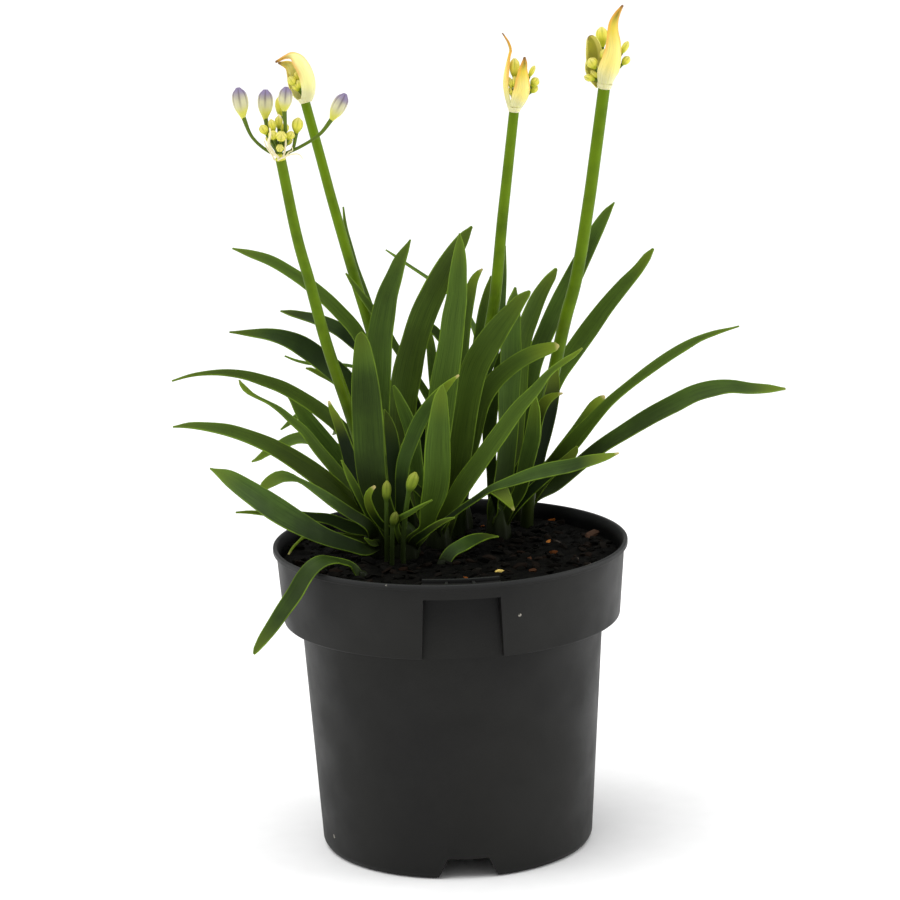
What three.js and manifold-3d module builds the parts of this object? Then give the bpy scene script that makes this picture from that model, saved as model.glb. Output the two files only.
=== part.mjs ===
// Agapanthus in its nursery pot, in bud: seven leafy shoots, two side shoots, four flower stems and three
// young ones.
// Millimetres, +Z up. The origin is the centre of the pot's underside, and -Y is the plant's front.
import * as THREE from "three";
import { mergeVertices } from "three/addons/utils/BufferGeometryUtils.js";
import Module from "manifold-3d";

const wasm = await Module();
wasm.setup();

// ---------------------------------------------------------------- driving dimensions

const GAP = 0.3; // clearance between pieces that touch
const FRONT = THREE.MathUtils.degToRad(-86); // one drain notch faces this way

const POT = {
  height: 178,
  wall: 1.8,
  lipRadius: 102.1,
  lipHeight: 3.2,
  lipThick: 2.3,
  collarTopRadius: 100.2,
  collarFootRadius: 97.4,
  collarFoot: 134,
  bodyTopRadius: 87,
  bodyFootRadius: 78.6,
  footCorner: 3,
  skirtInside: 73.5,
  floorUnder: 13,
  floorThick: 2,
  centreFootRadius: 16,
  webThick: 2,
  sides: 40,
};
const LABEL_PANEL = {
  facing: THREE.MathUtils.degToRad(-86.7),
  halfAngle: 0.217,
  footHalfAngle: 0.242, // the recess widens towards its foot
  depth: 3.2,
  foot: 132,
  top: 169,
  padHalfAngle: 0.23,
  padFootHalfAngle: 0.262,
  padShelf: 177.2,
  padTop: 179.2,
  padWall: 2,
};
const DRAIN = {
  notches: 3,
  footWidth: 36,
  topWidth: 23,
  height: 12,
  holes: 6,
  holeRadius: 4.5,
  holeAt: 58,
};

const SOIL = { level: 170.6, relief: 1.5, lump: 8, rings: 5, chips: 9, chipReach: 84 };
const CROWN = { foot: 150, topAbove: 17, footRadius: 8.5, topRadius: 5.2, sides: 8 };
const SIDE_CROWN = { scale: 0.42, topAbove: 2.4 };
const LEAF = { thick: [1.3, 0.7], channel: 0.085, stationEvery: 34, tipCrowding: 0.1 }; // middle, margin
const VALVE_THICK = [0.9, 0.7]; // middle, margin
const STEM_SIDES = 8;
const HEAD = {
  knobRadius: 1.9,
  knobHeight: 4,
  collarInside: 2.6,
  collarOutside: 3.8,
  collarHeight: 2.6,
};

const COLOUR = {
  pot: 0x373736,
  soil: 0x14110f,
  leaf: 0x2f4a1e,
  stem: 0x5a7a22,
  spathe: 0xe4d668,
  bud: 0xb9c46a,
  lilacBud: 0xa79ac4,
};

// ---------------------------------------------------------------- where everything grows

// A shoot's leaves leave one crown. Each path runs from just above the crown to the leaf's tip. `widths`
// are the blade's widths at the crown and at each point of the path. `face` is the way its upper face
// looks, with `tipFace` where the blade turns on its way up.
const SHOOTS = {
  shoot_left: {
    crown: [-43, 3],
    leaves: [
      {
        face: [0.1, -0.8, 0.6],
        widths: [7.5, 7.5, 8.5, 9, 11, 14, 15.5, 13.5, 9.5, 1],
        path: [
          [-43, -3, 176], [-49, -13.5, 177], [-57, -20.5, 181.5], [-71, -29, 189],
          [-84.5, -38, 199], [-98, -46, 210], [-111, -53, 221.5], [-123, -59, 232],
          [-132, -63, 238.5],
        ],
      },
      {
        face: [0.2, -0.75, 0.65],
        widths: [9, 9, 13, 13, 12, 10.5, 9, 8, 6, 4, 1],
        path: [
          [-44, 2, 188], [-62.5, -3, 207], [-74.5, -5, 218.5], [-87.5, -7, 229], [-100, -9, 237.5],
          [-112, -10, 243.5], [-124.5, -12, 248.5], [-135.5, -13, 251], [-146, -14, 252.5],
          [-155.5, -14, 252],
        ],
      },
      {
        face: [0.1, -0.8, 0.6],
        widths: [7, 7, 7, 7, 5.5, 3, 5.5, 7.5, 7.5, 5.5, 1],
        path: [
          [-46, -8, 189], [-56.5, -14, 198.5], [-65, -19, 206], [-74, -23, 214], [-84.5, -27, 222],
          [-89.5, -28, 224], [-94.5, -30, 225], [-99, -32, 223.5], [-103.5, -34, 221],
          [-108, -36, 217],
        ],
      },
      {
        face: [0.5, -0.8, 0.3],
        tipFace: [0.2, -0.3, 0.9],
        widths: [7, 7, 8.5, 8.5, 8.5, 7.5, 6.5, 5, 3, 3.5, 5.5, 4, 1],
        path: [
          [-45, 8, 190], [-56, 9, 206.5], [-65, 10, 218.5], [-74.5, 9, 231], [-82.5, 8, 242.5],
          [-89.5, 7, 249.5], [-96, 6, 256], [-102.5, 6, 260.5], [-109.5, 5, 264.5],
          [-113.5, 4, 267.5], [-116.5, 4, 271], [-118, 4, 274.5],
        ],
      },
      {
        face: [0.2, -0.9, 0.4],
        widths: [7, 7, 7.5, 6.5, 5, 4.5, 3, 2, 1],
        path: [
          [-44, -3, 184], [-57, -8, 189], [-68.5, -12, 195], [-79.5, -16, 198],
          [-90.5, -20, 200.5], [-104.5, -24, 202.5], [-114, -26, 204], [-121, -28, 204.5],
        ],
      },
      {
        face: [-0.5, -0.85, 0.1],
        widths: [8, 8, 10.5, 10, 8, 6, 3.5, 1.5],
        path: [
          [-46, 0, 191], [-51, -3, 209.5], [-55, -3, 226], [-59, -4, 241], [-62.5, -4, 251.5],
          [-65.5, -4, 258], [-67, -4, 262.5],
        ],
      },
      {
        face: [0.4, -0.9, 0.2],
        widths: [5.5, 5.5, 5, 4, 1],
        path: [[-45, -4, 192], [-52, -11, 210], [-56.5, -14, 220.5], [-60.5, -16, 230.5]],
      },
      {
        face: [0, -1, 0.5],
        widths: [4.5, 4.5, 4, 1],
        path: [[-42, -6, 179], [-44.5, -9.5, 179.5], [-49, -12, 183.5]],
      },
      {
        face: [0.1, -0.7, 0.7],
        widths: [4, 4, 2.5, 2, 1.5, 1.5, 1],
        path: [
          [-47, -4, 179], [-68.5, -10, 186], [-82.5, -14, 186], [-87, -16, 183], [-90, -17, 180],
          [-92.5, -18, 176.5],
        ],
      },
    ],
  },
  shoot_front: {
    crown: [-25, -6],
    leaves: [
      {
        face: [-0.25, -1, 0.1],
        widths: [12, 12, 16.5, 18, 18.5, 17.5, 15.5, 12.5, 9.5, 6.5, 2.5],
        path: [
          [-32, -8, 184], [-42, -11, 211.5], [-44, -13, 229.5], [-44.5, -14, 250],
          [-45, -14, 265.5], [-45.5, -14, 277.5], [-46, -13, 287.5], [-46.5, -12, 296],
          [-47, -12, 300.5], [-47, -12, 303.5],
        ],
      },
      {
        face: [0.25, -1, 0.1],
        widths: [10, 10, 8, 11.5, 15, 15.5, 15, 13, 10, 7, 1.5],
        path: [
          [-22, -12, 180], [-14.5, -13, 187.5], [-11.5, -17, 200], [-8, -20, 212.5],
          [-6.5, -23, 226], [-6, -25, 238], [-5, -27, 250], [-4, -29, 262], [-3, -30, 270],
          [-2, -31, 275.5],
        ],
      },
      {
        face: [-0.6, -0.9, 0.1],
        tipFace: [0.6, -0.6, 0.5],
        widths: [7, 7, 7.5, 8, 8.5, 8.5, 7, 5, 3, 1],
        path: [
          [-27, -7, 182], [-27, -9, 207.5], [-25.5, -10, 225.5], [-20.5, -11, 240],
          [-15, -12, 252], [-8, -13, 262.5], [-1, -13, 270], [3, -14, 274], [7.5, -14, 277.5],
        ],
      },
      {
        face: [0.3, -1, 0],
        widths: [8, 8, 8.5, 9, 8, 5, 1],
        path: [
          [-29, -4, 184], [-31, -3, 215], [-31.5, -3, 231.5], [-32.5, -2, 242.5], [-34, -1, 250.5],
          [-35.5, -1, 256],
        ],
      },
      {
        face: [0.3, -0.9, 0.3],
        widths: [3.5, 3.5, 3.5, 3, 2, 1],
        path: [
          [-30, -14, 186], [-29.5, -25, 196.5], [-21.5, -32, 203], [-15.5, -34, 207],
          [-9.5, -36, 210.5],
        ],
      },
      {
        face: [0.2, -0.9, 0.4],
        widths: [5, 5, 4.5, 4, 3, 1],
        path: [[-21, -14, 181], [-15.5, -24, 187.5], [-9.5, -29, 193], [-3, -33, 197.5], [3, -36, 200]],
      },
      {
        face: [-0.2, -1, 0.2],
        widths: [5, 5, 4.5, 5, 4.5, 3.5, 1.5],
        path: [
          [-33, -13, 186], [-40, -20, 194.5], [-44.5, -25, 203.5], [-46, -27, 210.5],
          [-44.5, -29, 215], [-41.5, -30, 218],
        ],
      },
    ],
  },
  shoot_back_left: {
    crown: [-38, 42],
    leaves: [
      {
        face: [-0.4, -1, 0.1],
        widths: [11, 11, 11.5, 15, 16, 15.5, 14.5, 12.5, 10, 7.5, 4, 1],
        path: [
          [-36, 36, 190], [-38, 36, 230], [-39, 30, 255], [-38, 22.5, 277], [-36.5, 19, 295.5],
          [-34, 18, 309], [-31.5, 17, 319.5], [-27.5, 16, 330], [-24, 15, 339.5], [-20.5, 15, 346],
          [-18, 15, 351],
        ],
      },
      {
        face: [0.3, -0.9, 0.4],
        widths: [7.5, 7.5, 7.5, 8.5, 8.5, 8, 7, 6.5, 4.5, 1],
        path: [
          [-38, 44, 192], [-40, 50, 251], [-49.5, 56, 287], [-62, 59, 303], [-75.5, 63, 315.5],
          [-89.5, 66, 325.5], [-101, 69, 332], [-113, 72, 336], [-123, 74, 339],
        ],
      },
      {
        face: [0.2, -0.85, 0.5],
        widths: [7, 7, 7, 8.5, 9, 9, 7.5, 5.5, 4, 1],
        path: [
          [-39, 50, 203], [-38.5, 62, 236.5], [-44.5, 72, 272.5], [-53.5, 76, 281],
          [-61.5, 78, 287.5], [-73.5, 82, 293], [-84, 86, 295.5], [-91, 88, 297], [-97, 90, 298],
        ],
      },
      {
        face: [0.3, -0.85, 0.45],
        widths: [9, 9, 10.5, 12, 13.5, 13, 12.5, 10, 7.5, 4.5, 1],
        path: [
          [-40, 42, 199], [-46, 39, 232.5], [-51.5, 38, 252], [-59.5, 37, 266], [-70, 36, 276.5],
          [-82.5, 36, 286.5], [-92, 36, 291.5], [-101.5, 37, 294], [-112.5, 38, 295],
          [-124.5, 38, 296],
        ],
      },
      {
        face: [0.2, -0.75, 0.65],
        widths: [8, 8, 9.5, 9.5, 9.5, 9, 8.5, 7.5, 6, 4.5, 3, 2, 1],
        path: [
          [-43, 36, 197], [-56.5, 29, 232], [-63.5, 27, 241.5], [-73, 25, 250.5], [-82.5, 23, 258],
          [-94, 21, 265.5], [-104.5, 18, 270.5], [-115, 16, 274.5], [-126.5, 13, 277],
          [-136.5, 11, 277.5], [-146, 8, 277], [-156.5, 6, 274.5],
        ],
      },
      {
        face: [0.4, -0.9, 0.2],
        widths: [11, 11, 12.5, 12.5, 12, 10.5, 7.5, 1],
        path: [
          [-44, 38, 193], [-51, 38, 199], [-60.5, 38, 213], [-70.5, 39, 226.5], [-79.5, 40, 239],
          [-85.5, 41, 248], [-92, 42, 256],
        ],
      },
      {
        face: [0.2, -0.8, 0.6],
        widths: [6.5, 6.5, 6.5, 7.5, 8, 7.5, 7, 5.5, 4.5, 3, 1],
        path: [
          [-45, 46, 192], [-60.5, 54, 217], [-72, 60, 223.5], [-81.5, 63, 226], [-88, 65, 226],
          [-95, 67, 223.5], [-102, 69, 219.5], [-108.5, 70, 216], [-112.5, 71, 213],
          [-116.5, 72, 211],
        ],
      },
      {
        face: [0.1, -0.9, 0.4],
        widths: [5, 5, 4, 4.5, 3.5, 3, 1],
        path: [
          [-44, 50, 194], [-63.5, 76, 228], [-80, 82, 240.5], [-89, 86, 235], [-94, 88, 230.5],
          [-99.5, 90, 226],
        ],
      },
      {
        face: [0.1, -0.9, 0.4],
        widths: [3.5, 3.5, 2.5, 2.5, 2, 2, 2, 1.5, 1],
        path: [
          [-36, 50, 197], [-42, 78, 233], [-48, 90, 259.5], [-57, 94, 263], [-73.5, 98, 263.5],
          [-82, 100, 264], [-90, 101, 266], [-96, 102, 268.5],
        ],
      },
      {
        face: [0.3, -0.9, 0.3],
        widths: [6, 6, 5, 3.5, 3, 3, 2.5, 1],
        path: [
          [-44, 46, 196], [-51.5, 46, 249.5], [-60.5, 47, 259.5], [-67.5, 48, 264.5],
          [-73.5, 48, 268], [-78, 48, 270.5], [-81.5, 48, 271.5],
        ],
      },
      {
        face: [0.6, -0.8, 0],
        widths: [5, 5, 5, 4.5, 3.5, 3.5, 3, 3, 2.5, 1],
        path: [
          [-36, 54, 210], [-34.5, 68, 247], [-38.5, 70, 287], [-43.5, 70, 304.5], [-47, 69, 315.5],
          [-50.5, 68, 327], [-53.5, 67, 339], [-56, 66, 350.5], [-57, 66, 363],
        ],
      },
      {
        face: [0.3, 0.8, 0.5],
        widths: [8, 8, 13, 11, 1],
        path: [[-43, 52, 192], [-52, 78, 214], [-62, 108, 222], [-70, 136, 212]],
      },
      {
        face: [-0.4, 0.7, 0.6],
        widths: [7, 7, 11, 9.5, 1],
        path: [[-36, 54, 196], [-38, 84, 224], [-44, 118, 232], [-48, 150, 220]],
      },
    ],
  },
  shoot_middle: {
    crown: [-7, 14],
    leaves: [
      {
        face: [0.35, -1, 0.1],
        widths: [10, 10, 15, 17, 18, 16, 16, 15, 13.5, 10.5, 7, 1.5],
        path: [
          [-17, 21, 196], [-26, 26, 232], [-25.5, 27.5, 254], [-22.5, 29, 271.5], [-18, 30, 288.5],
          [-12.5, 31, 304], [-6, 32, 317.5], [0.5, 33, 329.5], [6.5, 34, 339.5], [12.5, 36, 348],
          [17.5, 38, 354],
        ],
      },
      {
        face: [-0.2, -1, 0.1],
        widths: [10, 10, 14.5, 16, 16, 15, 14, 13.5, 12, 10.5, 8.5, 5, 1],
        path: [
          [-9, 14, 190], [-5.5, 10, 235], [-2.5, 8, 257.5], [-0.5, 7, 270.5], [2, 6, 283.5],
          [4, 5, 295.5], [5.5, 4, 307], [7.5, 3, 318.5], [8.5, 3, 330], [9.5, 2, 340.5],
          [10, 2, 349.5], [10, 2, 356],
        ],
      },
      {
        face: [-0.3, -0.95, 0.3],
        widths: [8, 8, 11, 10.5, 10, 8.5, 6.5, 4, 3.5, 2.5, 1],
        path: [
          [-6, 10, 182], [7.5, 2, 208.5], [18.5, -2, 224.5], [30, -6, 241], [41.5, -9, 257],
          [50.5, -11, 267], [59, -13, 277.5], [67.5, -14, 284], [73.5, -15, 288],
          [77.5, -16, 291.5],
        ],
      },
      {
        face: [-0.1, -0.8, 0.6],
        widths: [5, 5, 4, 4, 4.5, 6.5, 8, 9, 8.5, 7, 4.5, 1],
        path: [
          [-6, 6, 183], [4.5, -6, 196], [15, -12, 204.5], [24, -17, 211.5], [35, -22, 216.5],
          [46, -26, 221], [57.5, -29, 224.5], [68.5, -32, 227], [80, -35, 230.5], [89, -37, 233],
          [96, -39, 235.5],
        ],
      },
      {
        face: [-0.4, -1, 0],
        widths: [7, 7, 9, 9, 8, 6, 4, 1.5],
        path: [
          [-14, 12, 188], [-18.5, 7, 224], [-20.5, 6, 242], [-24, 5, 253], [-26.5, 4, 260],
          [-28.5, 3, 265.5], [-30, 3, 269],
        ],
      },
      {
        face: [0.2, -1, 0.1],
        widths: [5, 5, 4, 3, 1],
        path: [[-13, 10, 200], [-28.5, 3, 219.5], [-27.5, 2, 228], [-26, 2, 235]],
      },
      {
        face: [0, -1, 0.05],
        widths: [9, 9, 9, 9.5, 8, 6, 1.5],
        path: [
          [-6, 20, 198], [-14, 34, 212], [-15.5, 36, 223.5], [-16.5, 37, 238], [-17, 37, 248.5],
          [-17.5, 37, 256],
        ],
      },
      {
        face: [-0.3, -1, 0.2],
        widths: [11, 11, 15, 16.5, 16, 16, 15.5, 14.5, 12.5, 10, 7.5, 5, 2],
        path: [
          [0, 18, 190], [1.5, 22, 196.5], [6, 22, 223], [12, 21, 255.5], [17, 21, 274],
          [22.5, 20, 284.5], [28.5, 19, 293.5], [33.5, 18, 300.5], [39, 17, 307.5],
          [43.5, 16, 313.5], [47, 15, 317], [49.5, 15, 319.5],
        ],
      },
      {
        face: [0, -0.9, 0.45],
        widths: [8, 8, 8.5, 10, 10.5, 10, 9.5, 9, 7.5, 5.5, 2.5],
        path: [
          [-1, 22, 192], [13, 28, 224.5], [20.5, 26, 253], [27, 25, 264], [35, 23, 272],
          [43, 21, 278], [51.5, 19, 282.5], [58.5, 17, 285], [63, 16, 286.5], [65.5, 16, 287],
        ],
      },
    ],
  },
  shoot_back: {
    crown: [6, 58],
    leaves: [
      {
        face: [-0.5, -0.9, 0.1],
        widths: [6, 6, 8, 8, 8, 7.5, 5.5, 3.5, 1],
        path: [
          [7, 56, 201], [7.5, 55, 236.5], [10.5, 53, 278.5], [13, 52, 299.5], [15.5, 51, 312],
          [18, 50, 320.5], [20.5, 50, 324.5], [23, 50, 327],
        ],
      },
      {
        face: [0.4, -0.9, 0],
        widths: [6, 6, 7, 6.5, 6, 4, 1],
        path: [
          [8, 60, 235], [16.5, 61, 265], [20.5, 61, 289], [23, 61, 302], [25.5, 60, 312.5],
          [28, 60, 321],
        ],
      },
      {
        face: [0.4, -0.9, 0],
        widths: [5, 5, 6, 6, 5.5, 5, 3, 1],
        path: [
          [11, 62, 230], [28.5, 56, 276.5], [32, 52, 295], [33.5, 50, 309.5], [34.5, 49, 323],
          [35.5, 48, 332.5], [36.5, 48, 340.5],
        ],
      },
      {
        face: [0.3, -0.3, 0.9],
        widths: [4, 4, 4, 4.5, 5, 4.5, 3.5, 3, 2.5, 1],
        path: [
          [4, 58, 200], [21, 66, 258], [18.5, 72, 284], [14, 75, 294], [2, 80, 308.5],
          [-10, 84, 317], [-21, 86, 324.5], [-27.5, 88, 329], [-33.5, 90, 333],
        ],
      },
      {
        face: [0.4, -0.9, 0.1],
        widths: [5, 5, 5, 5, 6, 5.5, 5, 3, 1],
        path: [
          [2, 58, 194], [-4.5, 60, 230], [-7.5, 61, 256.5], [-8, 61, 273], [-8.5, 61, 280.5],
          [-10, 61, 287.5], [-12.5, 61, 292.5], [-16.5, 61, 297],
        ],
      },
      {
        face: [0.3, -0.9, 0.2],
        widths: [5, 5, 5.5, 5.5, 4.5, 4.5, 4.5, 4.5, 4.5, 4, 3, 1],
        path: [
          [-2, 58, 197], [3, 60, 229.5], [-8, 58, 246], [-15, 56, 258.5], [-22, 52, 271],
          [-29, 49, 283], [-35, 46, 295], [-41, 44, 305], [-46.5, 42, 313.5], [-52, 40, 322],
          [-56, 39, 328.5],
        ],
      },
      {
        face: [0.2, -0.9, 0.3],
        widths: [5, 5, 5.5, 5.5, 5.5, 5, 1],
        path: [
          [10, 54, 197], [13.5, 70, 233], [5.5, 76, 268.5], [-3, 78, 282.5], [-8.5, 80, 288],
          [-15.5, 82, 293],
        ],
      },
      {
        face: [0.3, 0.7, 0.6],
        widths: [7, 7, 12, 10.5, 1],
        path: [[4, 68, 194], [-2, 92, 226], [-6, 122, 238], [-12, 154, 228]],
      },
      {
        face: [-0.4, 0.8, 0.4],
        widths: [7, 7, 11, 9.5, 1],
        path: [[10, 66, 196], [16, 88, 224], [24, 112, 236], [32, 142, 224]],
      },
    ],
  },
  shoot_front_right: {
    crown: [28, 34],
    leaves: [
      {
        face: [0.35, -1, 0],
        widths: [11, 11, 12.5, 11.5, 12.5, 13.5, 13.5, 12.5, 10.5, 7.5, 1.5],
        path: [
          [27, 33, 190], [30, 33, 196], [33.5, 34, 216.5], [35.5, 35, 237], [36, 36, 254.5],
          [37.5, 36, 272.5], [38, 35, 288.5], [39, 35, 300.5], [40, 34, 310], [41.5, 34, 318.5],
        ],
      },
      {
        face: [-0.3, -1, 0],
        widths: [7, 7, 6.5, 8, 8, 7.5, 5.5, 1.5],
        path: [
          [26, 40, 196], [25.5, 44, 208.5], [24.5, 46, 226], [26, 47, 242.5], [29.5, 47, 260.5],
          [33.5, 46, 276], [36, 46, 284],
        ],
      },
      {
        face: [-0.35, -0.9, 0.1],
        widths: [6, 6, 8, 9.5, 10, 9.5, 8, 6, 1.5],
        path: [
          [35, 30, 188], [41.5, 27, 200], [45, 24, 215], [47.5, 22, 225], [49.5, 20, 234.5],
          [50.5, 19, 243.5], [51, 18, 250.5], [51.5, 18, 257],
        ],
      },
      {
        face: [0.1, -0.6, 0.8],
        widths: [8, 8, 9.5, 11.5, 8.5, 5.5, 1.5],
        path: [
          [27, 26, 188], [25, 10, 204], [28, 3, 206], [31.5, -3, 203.5], [34, -7, 201],
          [37, -9, 196.5],
        ],
      },
      {
        face: [-0.2, -0.9, 0.4],
        widths: [6, 6, 6, 6.5, 6, 4, 1.5],
        path: [
          [37, 32, 187], [56, 30, 206], [65, 29, 213], [71, 28, 218.5], [74, 28, 222.5],
          [75, 28, 225],
        ],
      },
      {
        face: [0.3, -0.95, 0.1],
        widths: [10, 10, 11, 11, 11, 10.5, 9.5, 7, 2],
        path: [
          [36, 38, 192], [49, 46, 207.5], [53, 46, 220.5], [56.5, 46, 232.5], [59.5, 45, 244.5],
          [61.5, 44, 254.5], [63, 43, 262.5], [65, 43, 268],
        ],
      },
      {
        face: [-0.3, -0.9, 0.4],
        widths: [7, 7, 7.5, 7.5, 7.5, 6, 3.5, 1],
        path: [
          [34, 36, 196], [50, 39, 224], [52, 40, 235.5], [55, 39, 245.5], [59, 38, 251],
          [63, 37, 253.5], [67.5, 36, 255],
        ],
      },
    ],
  },
  shoot_right: {
    crown: [42, 74],
    leaves: [
      {
        face: [0.4, -0.9, 0.1],
        widths: [9, 9, 12, 12.5, 12, 11.5, 10, 8, 6, 2],
        path: [
          [39, 80, 190], [42, 92, 240], [44, 96, 263.5], [46.5, 98, 277], [51, 99, 289],
          [56, 100, 300], [60.5, 100, 307.5], [64.5, 100, 313], [67.5, 100, 317.5],
        ],
      },
      {
        face: [-0.3, -0.95, 0.15],
        widths: [10, 10, 11, 11, 11, 11.5, 11.5, 10, 8, 5, 1],
        path: [
          [43, 82, 190], [47, 94, 221], [52, 102, 257], [61, 108, 278], [68.5, 112, 292.5],
          [76.5, 115, 306.5], [85, 118, 322], [93.5, 119, 338], [99, 120, 347], [103.5, 120, 353],
        ],
      },
      {
        face: [-0.4, -0.9, 0.2],
        widths: [9, 9, 11.5, 11.5, 11.5, 11.5, 10, 8.5, 6.5, 5, 1.5],
        path: [
          [46, 76, 190], [52.5, 76, 224.5], [65.5, 78, 256], [75.5, 79, 270], [85.5, 80, 283.5],
          [96, 80, 297.5], [106.5, 79, 310], [115, 78, 319.5], [120.5, 78, 327], [124, 78, 331.5],
        ],
      },
      {
        face: [-0.2, -0.85, 0.5],
        widths: [8, 8, 10.5, 10, 7.5, 6, 5.5, 6, 6, 5.5, 4, 3, 1.5, 1],
        path: [
          [51, 70, 188], [64, 56, 209.5], [76, 48, 225.5], [86, 43, 238], [95, 39, 248.5],
          [106.5, 35, 259], [118, 31, 268.5], [129.5, 28, 277], [139, 26, 283], [147, 24, 287.5],
          [156, 22, 291], [164, 20, 293.5], [169, 19, 295],
        ],
      },
      {
        face: [-0.2, -0.9, 0.4],
        widths: [8, 8, 8, 7.5, 7.5, 7.5, 6.5, 5, 2],
        path: [
          [46, 82, 190], [59.5, 84, 199.5], [70, 86, 212], [77.5, 88, 221], [83.5, 89, 229],
          [88, 90, 235.5], [92, 91, 239], [94.5, 92, 241],
        ],
      },
      {
        face: [-0.1, -0.75, 0.65],
        widths: [9, 9, 10, 9.5, 9.5, 10.5, 11.5, 12, 11.5, 11, 9, 7.5, 5.5, 1.5],
        path: [
          [50, 75, 184], [63, 74, 191.5], [78, 71, 204], [90.5, 69, 214.5], [105.5, 66, 224.5],
          [120, 64, 233.5], [134.5, 61, 241.5], [146, 59, 247.5], [156, 57, 250.5],
          [166.5, 55, 252], [178, 53, 251], [189, 51, 251], [198.5, 50, 251],
        ],
      },
      {
        face: [-0.1, -0.75, 0.65],
        widths: [4, 4, 3, 2.5, 2, 1],
        path: [[52, 78, 186], [69.5, 78, 199.5], [78.5, 80, 205], [84.5, 82, 208], [89, 83, 210]],
      },
      {
        face: [-0.5, 0.6, 0.6],
        widths: [8, 8, 12, 10.5, 1],
        path: [[47, 82, 190], [48, 104, 204], [50, 126, 204], [52, 146, 194]],
      },
      {
        face: [0.2, 0.7, 0.7],
        widths: [7, 7, 11, 9.5, 1],
        path: [[42, 86, 194], [46, 112, 214], [46, 140, 220], [42, 168, 206]],
      },
    ],
  },
};

// Side shoots with one leaf each: a slim crown, the rest as above.
const SIDE_SHOOTS = {
  side_shoot_over_rim: {
    crown: [-50, -47],
    leaves: [
      {
        face: [-0.15, -0.45, 0.9],
        tipFace: [-0.5, -0.75, 0.35],
        widths: [8, 8, 10, 11, 11, 11, 11.5, 11.5, 10.5, 9, 7, 4, 1.5],
        path: [
          [-57, -52, 178], [-63, -58, 181.5], [-68, -64, 184], [-73, -69, 184],
          [-77.5, -72.5, 181.5], [-82, -74, 176], [-86.5, -74.5, 168.5], [-93.5, -75, 159],
          [-100, -76, 150], [-105.5, -77, 143], [-109.5, -77.5, 137.5], [-111, -78, 135],
        ],
      },
    ],
  },
  side_shoot_low: {
    crown: [-5, -25],
    leaves: [
      {
        face: [0.2, -0.55, 0.8],
        widths: [7.5, 7.5, 8.5, 8, 5.5, 1],
        path: [[0, -22.5, 176], [6.5, -17.5, 178.5], [12.5, -9, 179.5], [19.5, 1, 179], [28, 13, 176]],
      },
    ],
  },
};

// Flower stems, root to top, with their radius at each end.
const STEMS = {
  flower_stem_1: {
    radii: [3.9, 3],
    path: [
      [-43, 20, 150], [-43, 20, 180], [-47, 19, 216], [-54.5, 17, 246.5], [-65, 12, 283], [-69.5, 9, 301],
      [-76, 5, 331], [-81.5, 2, 354.5], [-89, -8, 402],
    ],
  },
  flower_stem_2: {
    radii: [3.6, 2.8],
    path: [
      [-22, 40, 150], [-22, 40, 178], [-30, 43, 228], [-36, 45, 264], [-44.5, 48, 299], [-51, 50, 322.5],
      [-63, 53, 369], [-68.5, 54, 392.5], [-76.5, 56, 425.5],
    ],
  },
  flower_stem_3: {
    radii: [4.4, 2.9],
    path: [
      [5, 36, 150], [5, 36, 180], [11, 37, 220], [18.5, 38, 258], [25, 40, 287], [29.5, 41, 310],
      [35, 40, 357], [38, 38, 380.5], [43, 34, 420],
    ],
  },
  flower_stem_4: {
    radii: [3.9, 3.5],
    path: [
      [46, 57, 150], [46, 57, 180], [53, 58, 218], [59.5, 57, 246.5], [70.5, 53, 295], [77, 51, 318.5],
      [85.5, 48, 366], [89, 46, 389.5], [95, 44, 430.5],
    ],
  },
};

// Young flower stems beside the front crown, each with its closed bud.
const YOUNG_STEMS = {
  young_stem_1: {
    path: [[-36.4, -21, 158], [-36.4, -21, 176], [-35.7, -24, 206.1]],
    radius: 1.3,
    tip: [-34.9, -25, 219.7],
    budRadius: 2.5,
  },
  young_stem_2: {
    path: [[-27, -23, 158], [-27, -23, 176], [-25.8, -23.5, 194], [-23.3, -27.5, 212.1]],
    radius: 1.5,
    tip: [-18.5, -29, 225.1],
    budRadius: 3,
  },
  young_stem_3: {
    path: [[-33.4, -27, 158], [-33.4, -27, 172], [-32.9, -29, 193.2]],
    radius: 1.4,
    tip: [-30.2, -30, 202.7],
    budRadius: 2.3,
  },
};

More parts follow.
